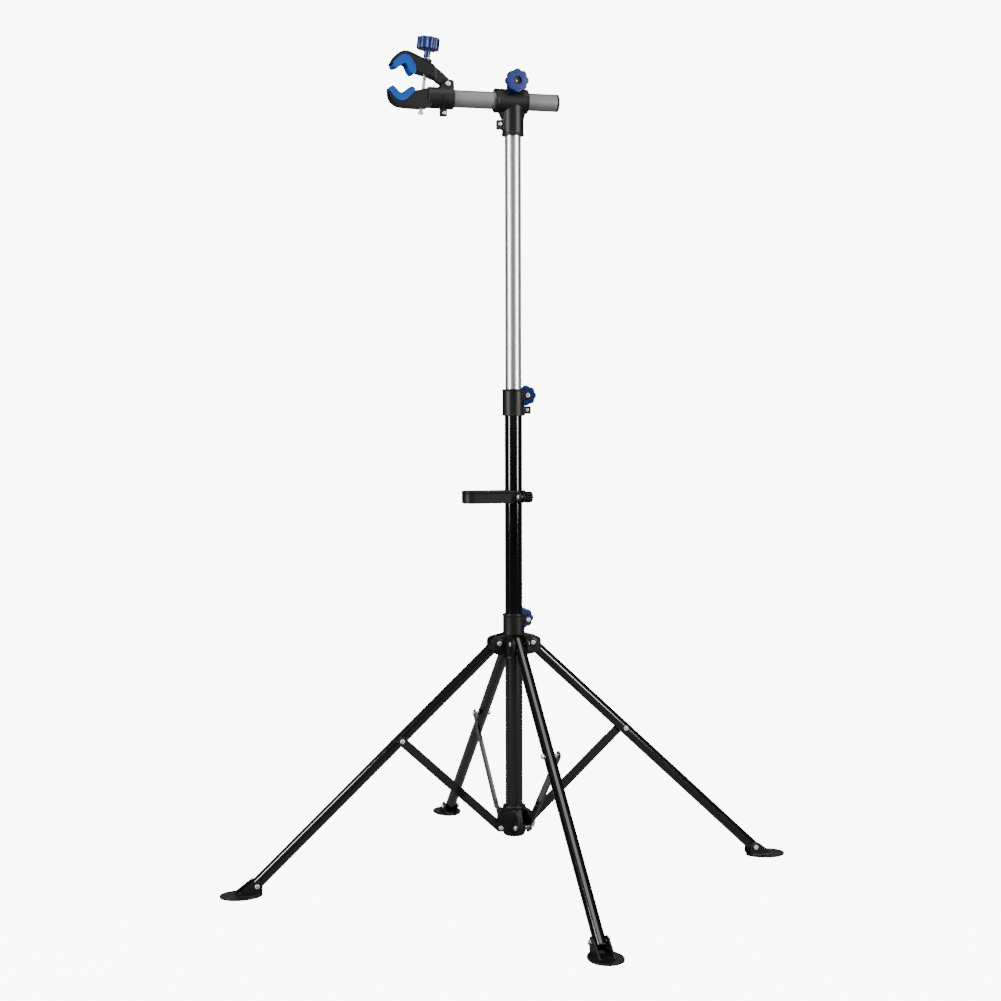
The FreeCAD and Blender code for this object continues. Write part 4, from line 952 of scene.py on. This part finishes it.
def oval(inset):
    """The pad's outline, drawn in by the inset."""
    points = []
    for number in range(48):
        turn = 2 * math.pi * number / 48
        length = 45.5 * MM - inset
        half = (35 * MM - inset) * (1 + 0.10 * math.cos(turn))
        points.append((FOOT_OUT + 31.5 * MM + length * math.cos(turn), half * math.sin(turn) / 1.01))
    return points


pad = slab("pad", oval(0), 0, 4.5 * MM)
cut(pad, slab("tread", oval(3.2 * MM), 3.3 * MM, 9 * MM))
profile = [(FOOT_OUT - 12 * MM, MM), (FOOT_OUT - 12 * MM, FOOT_Z + 6 * MM),
           (FOOT_OUT - 4 * MM, FOOT_Z + 11 * MM), (FOOT_OUT + 8 * MM, FOOT_Z + 10 * MM), (FOOT_OUT + 46 * MM, 5 * MM), (FOOT_OUT + 46 * MM, MM)]
parts = [pad]
for side in (-1, 1):
    low, high = band(side, EAR_IN, EAR_IN + FOOT_EAR_T)
    parts.append(plate("ear", profile, low, high, rounding=18))
foot = melt(join("foot_moulding", *parts), 0.8)
cut(foot, rod("pivot", (FOOT_OUT, -30 * MM, FOOT_Z), (FOOT_OUT, 30 * MM, FOOT_Z), BOLT_R + RUN),
    rod("floor_hole", (FOOT_OUT + 60 * MM, 0, -MM), (FOOT_OUT + 60 * MM, 0, 9 * MM), 3 * MM, 32))
for side, foot_piece in zip(("right", "rear", "left", "front"), spun(foot)):
    foot_piece.name = "foot_moulding_" + side
    complete(foot_piece, "foot_" + side, "foot_" + side, angle=38)

# %% [markdown]
# ## Tee fitting
# The tee joins the arm to the mast: a sleeve across with its clamp ears on top, a sleeve down with two small pinch
# lugs, and a gusset that fills the corners between them. Thin rings close the ends of both sleeves.

# %% Tee fitting
TEE_LOW, TEE_HIGH = (Vector(corner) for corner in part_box("tee_fitting"))
TEE_R = ARM_R + 7 * MM
TEE_LEG_R = UPPER_R + 6 * MM
TEE_BOLT_Z = height_of("tee_knob_turn")
TEE_SCREW_X = -TEE_LEG_R - 6.5 * MM
TEE_SCREW_Z = TEE_LOW.z + 24 * MM
gusset = [(TEE_LOW.x + 3 * MM, ARM_Z - 12 * MM), (TEE_HIGH.x - 3 * MM, ARM_Z - 12 * MM),
          (TEE_HIGH.x - 4 * MM, ARM_Z - 25 * MM), (TEE_LEG_R - 2 * MM, ARM_Z - 44 * MM),
          (2 * MM - TEE_LEG_R, ARM_Z - 44 * MM), (TEE_LOW.x + 10 * MM, ARM_Z - 25 * MM)]
parts = [rod("across", (TEE_LOW.x, 0, ARM_Z), (TEE_HIGH.x, 0, ARM_Z), TEE_R, 96),
         upright("down", TEE_LOW.z, ARM_Z, TEE_LEG_R),
         rod("left_ring", (TEE_LOW.x, 0, ARM_Z), (TEE_LOW.x + 3.5 * MM, 0, ARM_Z), TEE_R + 0.5 * MM, 96),
         rod("right_ring", (TEE_HIGH.x - 3.5 * MM, 0, ARM_Z), (TEE_HIGH.x, 0, ARM_Z), TEE_R + 0.5 * MM, 96),
         upright("low_ring", TEE_LOW.z, TEE_LOW.z + 4 * MM, TEE_LEG_R + MM),
         plate("gusset", gusset, -8 * MM, 8 * MM, rounding=20)]
for side in (-1, 1):
    low, high = band(side, SLIT / 2, SLIT / 2 + 10 * MM)
    parts.append(block("ear", (-11 * MM, low, ARM_Z + ARM_R), (11 * MM, high, TEE_BOLT_Z)))
    parts.append(rod("ear", (0, low, TEE_BOLT_Z), (0, high, TEE_BOLT_Z), 11 * MM))
    low, high = band(side, SLIT / 2, SLIT / 2 + LUG_T)
    parts.append(block("lug", (TEE_SCREW_X - 6.5 * MM, low, TEE_SCREW_Z - 11 * MM),
                       (2 * MM - TEE_LEG_R, high, TEE_SCREW_Z + 9 * MM)))
tee = melt(join("tee_moulding", *parts), 0.9)
bore_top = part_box("upper_mast_tube")[1][2] + 0.3 * MM
cut(tee, rod("arm_bore", (TEE_LOW.x - MM, 0, ARM_Z), (TEE_HIGH.x + MM, 0, ARM_Z), ARM_R + RUN, 96),
    upright("mast_bore", TEE_LOW.z - MM, bore_top, UPPER_R + RUN),
    block("slit", (TEE_LOW.x - MM, -SLIT / 2, ARM_Z), (TEE_HIGH.x + MM, SLIT / 2, TEE_HIGH.z + 2 * MM)),
    block("slit", (TEE_SCREW_X - 9 * MM, -SLIT / 2, TEE_LOW.z - MM), (0, SLIT / 2, TEE_SCREW_Z + 14 * MM)),
    across("bolt", 0, TEE_BOLT_Z, BOLT_R), across("screw", TEE_SCREW_X, TEE_SCREW_Z, PINCH_R))
complete(tee, "tee", "tee_fitting", angle=38)

# %% [markdown]
# ## Tool tray
# The tray is one moulding: a split ring on the mast, a long open loop with a round end, and a small shelf with
# three holes for the shafts of tools. A rim runs round the loop's top, and the shelf sits just below it.

# %% Tool tray
TRAY_LOW, TRAY_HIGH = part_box("tool_tray")[0][2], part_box("tool_tray")[1][2]
TRAY_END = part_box("tool_tray")[0][0]
TRAY_HALF = TUBE_R + 5.5 * MM
TRAY_BOLT_Y = -TRAY_HALF - 7.5 * MM
TRAY_MID = (TRAY_LOW + TRAY_HIGH) / 2
TRAY_EAR_T = 4.4 * MM
TRAY_STEP = 8.4 * MM      # one ear and the slit beside it
TRAY_EAR_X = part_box("tray_knob")[0][0] - GAP - 12.8 * MM


def loop(end, half, corner, start):
    """Outline of a bar with two round corners at its far end."""
    points = [(start, -half), (start, half)]
    for sign, first in ((1, 90), (-1, 180)):
        for number in range(9):
            turn = math.radians(first + number * 90 / 8)
            points.append((end + corner + corner * math.cos(turn),
                           sign * (half - corner) + corner * math.sin(turn)))
    return points


shell = slab("shell", loop(TRAY_END, TRAY_HALF, 20 * MM, 10 * MM), TRAY_LOW, TRAY_HIGH)
rim = slab("rim", loop(TRAY_END - 0.5 * MM, TRAY_HALF + 1.2 * MM, 20.5 * MM, 0),
           TRAY_HIGH - 3.5 * MM, TRAY_HIGH)
tray = join("tray_moulding", shell, rim)
modify(tray, "REMESH", mode="VOXEL", voxel_size=0.9 * MM)
cut(tray, slab("hollow", loop(TRAY_END + 4 * MM, TRAY_HALF - 4 * MM, 16 * MM, 0),
               TRAY_LOW - MM, TRAY_HIGH + MM))
parts = [tray, upright("ring", TRAY_LOW, TRAY_HIGH, TRAY_HALF),
         upright("ring_rim", TRAY_HIGH - 3.5 * MM, TRAY_HIGH, TRAY_HALF + 1.2 * MM),
         block("shelf", (-68 * MM, 2 * MM - TRAY_HALF, TRAY_HIGH - 6 * MM),
               (-TUBE_R - MM, TRAY_HALF - 2 * MM, TRAY_HIGH - 1.2 * MM))]
for left in (TRAY_EAR_X, TRAY_EAR_X + TRAY_STEP):
    parts.append(block("ear", (left, TRAY_BOLT_Y, TRAY_LOW + 2 * MM),
                       (left + TRAY_EAR_T, 3 * MM - TRAY_HALF, TRAY_HIGH - 2 * MM)))
    parts.append(rod("ear", (left, TRAY_BOLT_Y, TRAY_MID), (left + TRAY_EAR_T, TRAY_BOLT_Y, TRAY_MID),
                     11.5 * MM))
tray = melt(join("tray_moulding", *parts), 0.8)
cutters = [upright("bore", TRAY_LOW - MM, TRAY_HIGH + MM, TUBE_R + RUN),
           block("slit", (TRAY_EAR_X + TRAY_EAR_T, -60 * MM, TRAY_LOW - MM),
                 (TRAY_EAR_X + TRAY_STEP, -5 * MM, TRAY_HIGH + MM)),
           rod("bolt", (-22 * MM, TRAY_BOLT_Y, TRAY_MID), (30 * MM, TRAY_BOLT_Y, TRAY_MID), BOLT_R)]
for number in range(3):
    spot = Vector((-TUBE_R - 12 * MM - number * 14.5 * MM, 9 * MM if number % 2 else -9 * MM, TRAY_LOW))
    cutters.append(rod("tool_hole", spot, spot + UP * 40 * MM, 6 * MM))
cut(tray, *cutters)
complete(tray, "tray", "tool_tray", angle=38)

# %% Thumb knob of the tray
THUMB_START = Vector((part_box("tray_knob")[0][0], TRAY_BOLT_Y, TRAY_MID))
FLUTES = 20
thumb = fixed(add("cylinder", "thumb_knob", vertices=FLUTES * 4, radius=12.3 * MM, depth=14 * MM,
                  location=(0, 0, 9 * MM)))
edit(thumb, "VERT")


def in_flute(spot, normal):
    turn = (math.degrees(math.atan2(spot.y, spot.x)) + 360) % (360 / FLUTES)
    return abs(turn - 180 / FLUTES) < 1


pick(thumb, in_flute, "VERT")
bpy.ops.transform.resize(value=(0.90, 0.90, 1), center_override=(0, 0, 0))
pick(thumb, lambda spot, normal: abs(normal.z) > 0.9, "FACE")
bpy.ops.mesh.bevel(offset=1.0 * MM, segments=3, affect="EDGES")
leave()
union(thumb, rod("boss", (0, 0, 0), (0, 0, 4 * MM), 9.3 * MM))
cut(thumb, rod("dish", (0, 0, 15 * MM), (0, 0, 18 * MM), 7.5 * MM),
    rod("hole", (0, 0, -MM), (0, 0, 13 * MM), BOLT_R + RUN, 32))
thumb.rotation_euler.y = math.radians(90)
thumb.location = THUMB_START
complete(thumb, "tray_knob", "tray_knob")

# %% [markdown]
# ## Clamp screw
# The clamp's rod carries a real thread of 1.25 mm pitch: a fine three-cornered bead wound round a core.

# %% Threaded rod
PITCH = 1.25 * MM
rod_low = NUT_AT - SCREW_DIR * 35 * MM
length = (SEAT_AT + SCREW_DIR * 28 * MM - rod_low).length
turns = int((length - 4 * MM) / PITCH)
bead = fixed(add("circle", "bead", vertices=3, radius=0.5 * MM, fill_type="NOTHING", location=(3.5 * MM, 0, 0),
                 rotation=(math.radians(90), 0, 0)))
modify(bead, "SCREW", axis="Z", angle=2 * math.pi, screw_offset=PITCH, iterations=turns, steps=24,
       render_steps=24)
edit(bead, "EDGE")
bpy.ops.mesh.select_non_manifold()
bpy.ops.mesh.edge_face_add()
leave()
core = rod("core", (0, 0, -2 * MM), (0, 0, length - 2 * MM), 3.45 * MM)
screw = join("threaded_rod", core, bead)
lean = SCREW_DIR.to_track_quat("Z", "Y").to_matrix().to_4x4()
screw.matrix_world = Matrix.Translation(rod_low + SCREW_DIR * 2 * MM) @ lean
complete(screw, "clamp_screw", "clamp_rod", angle=40)
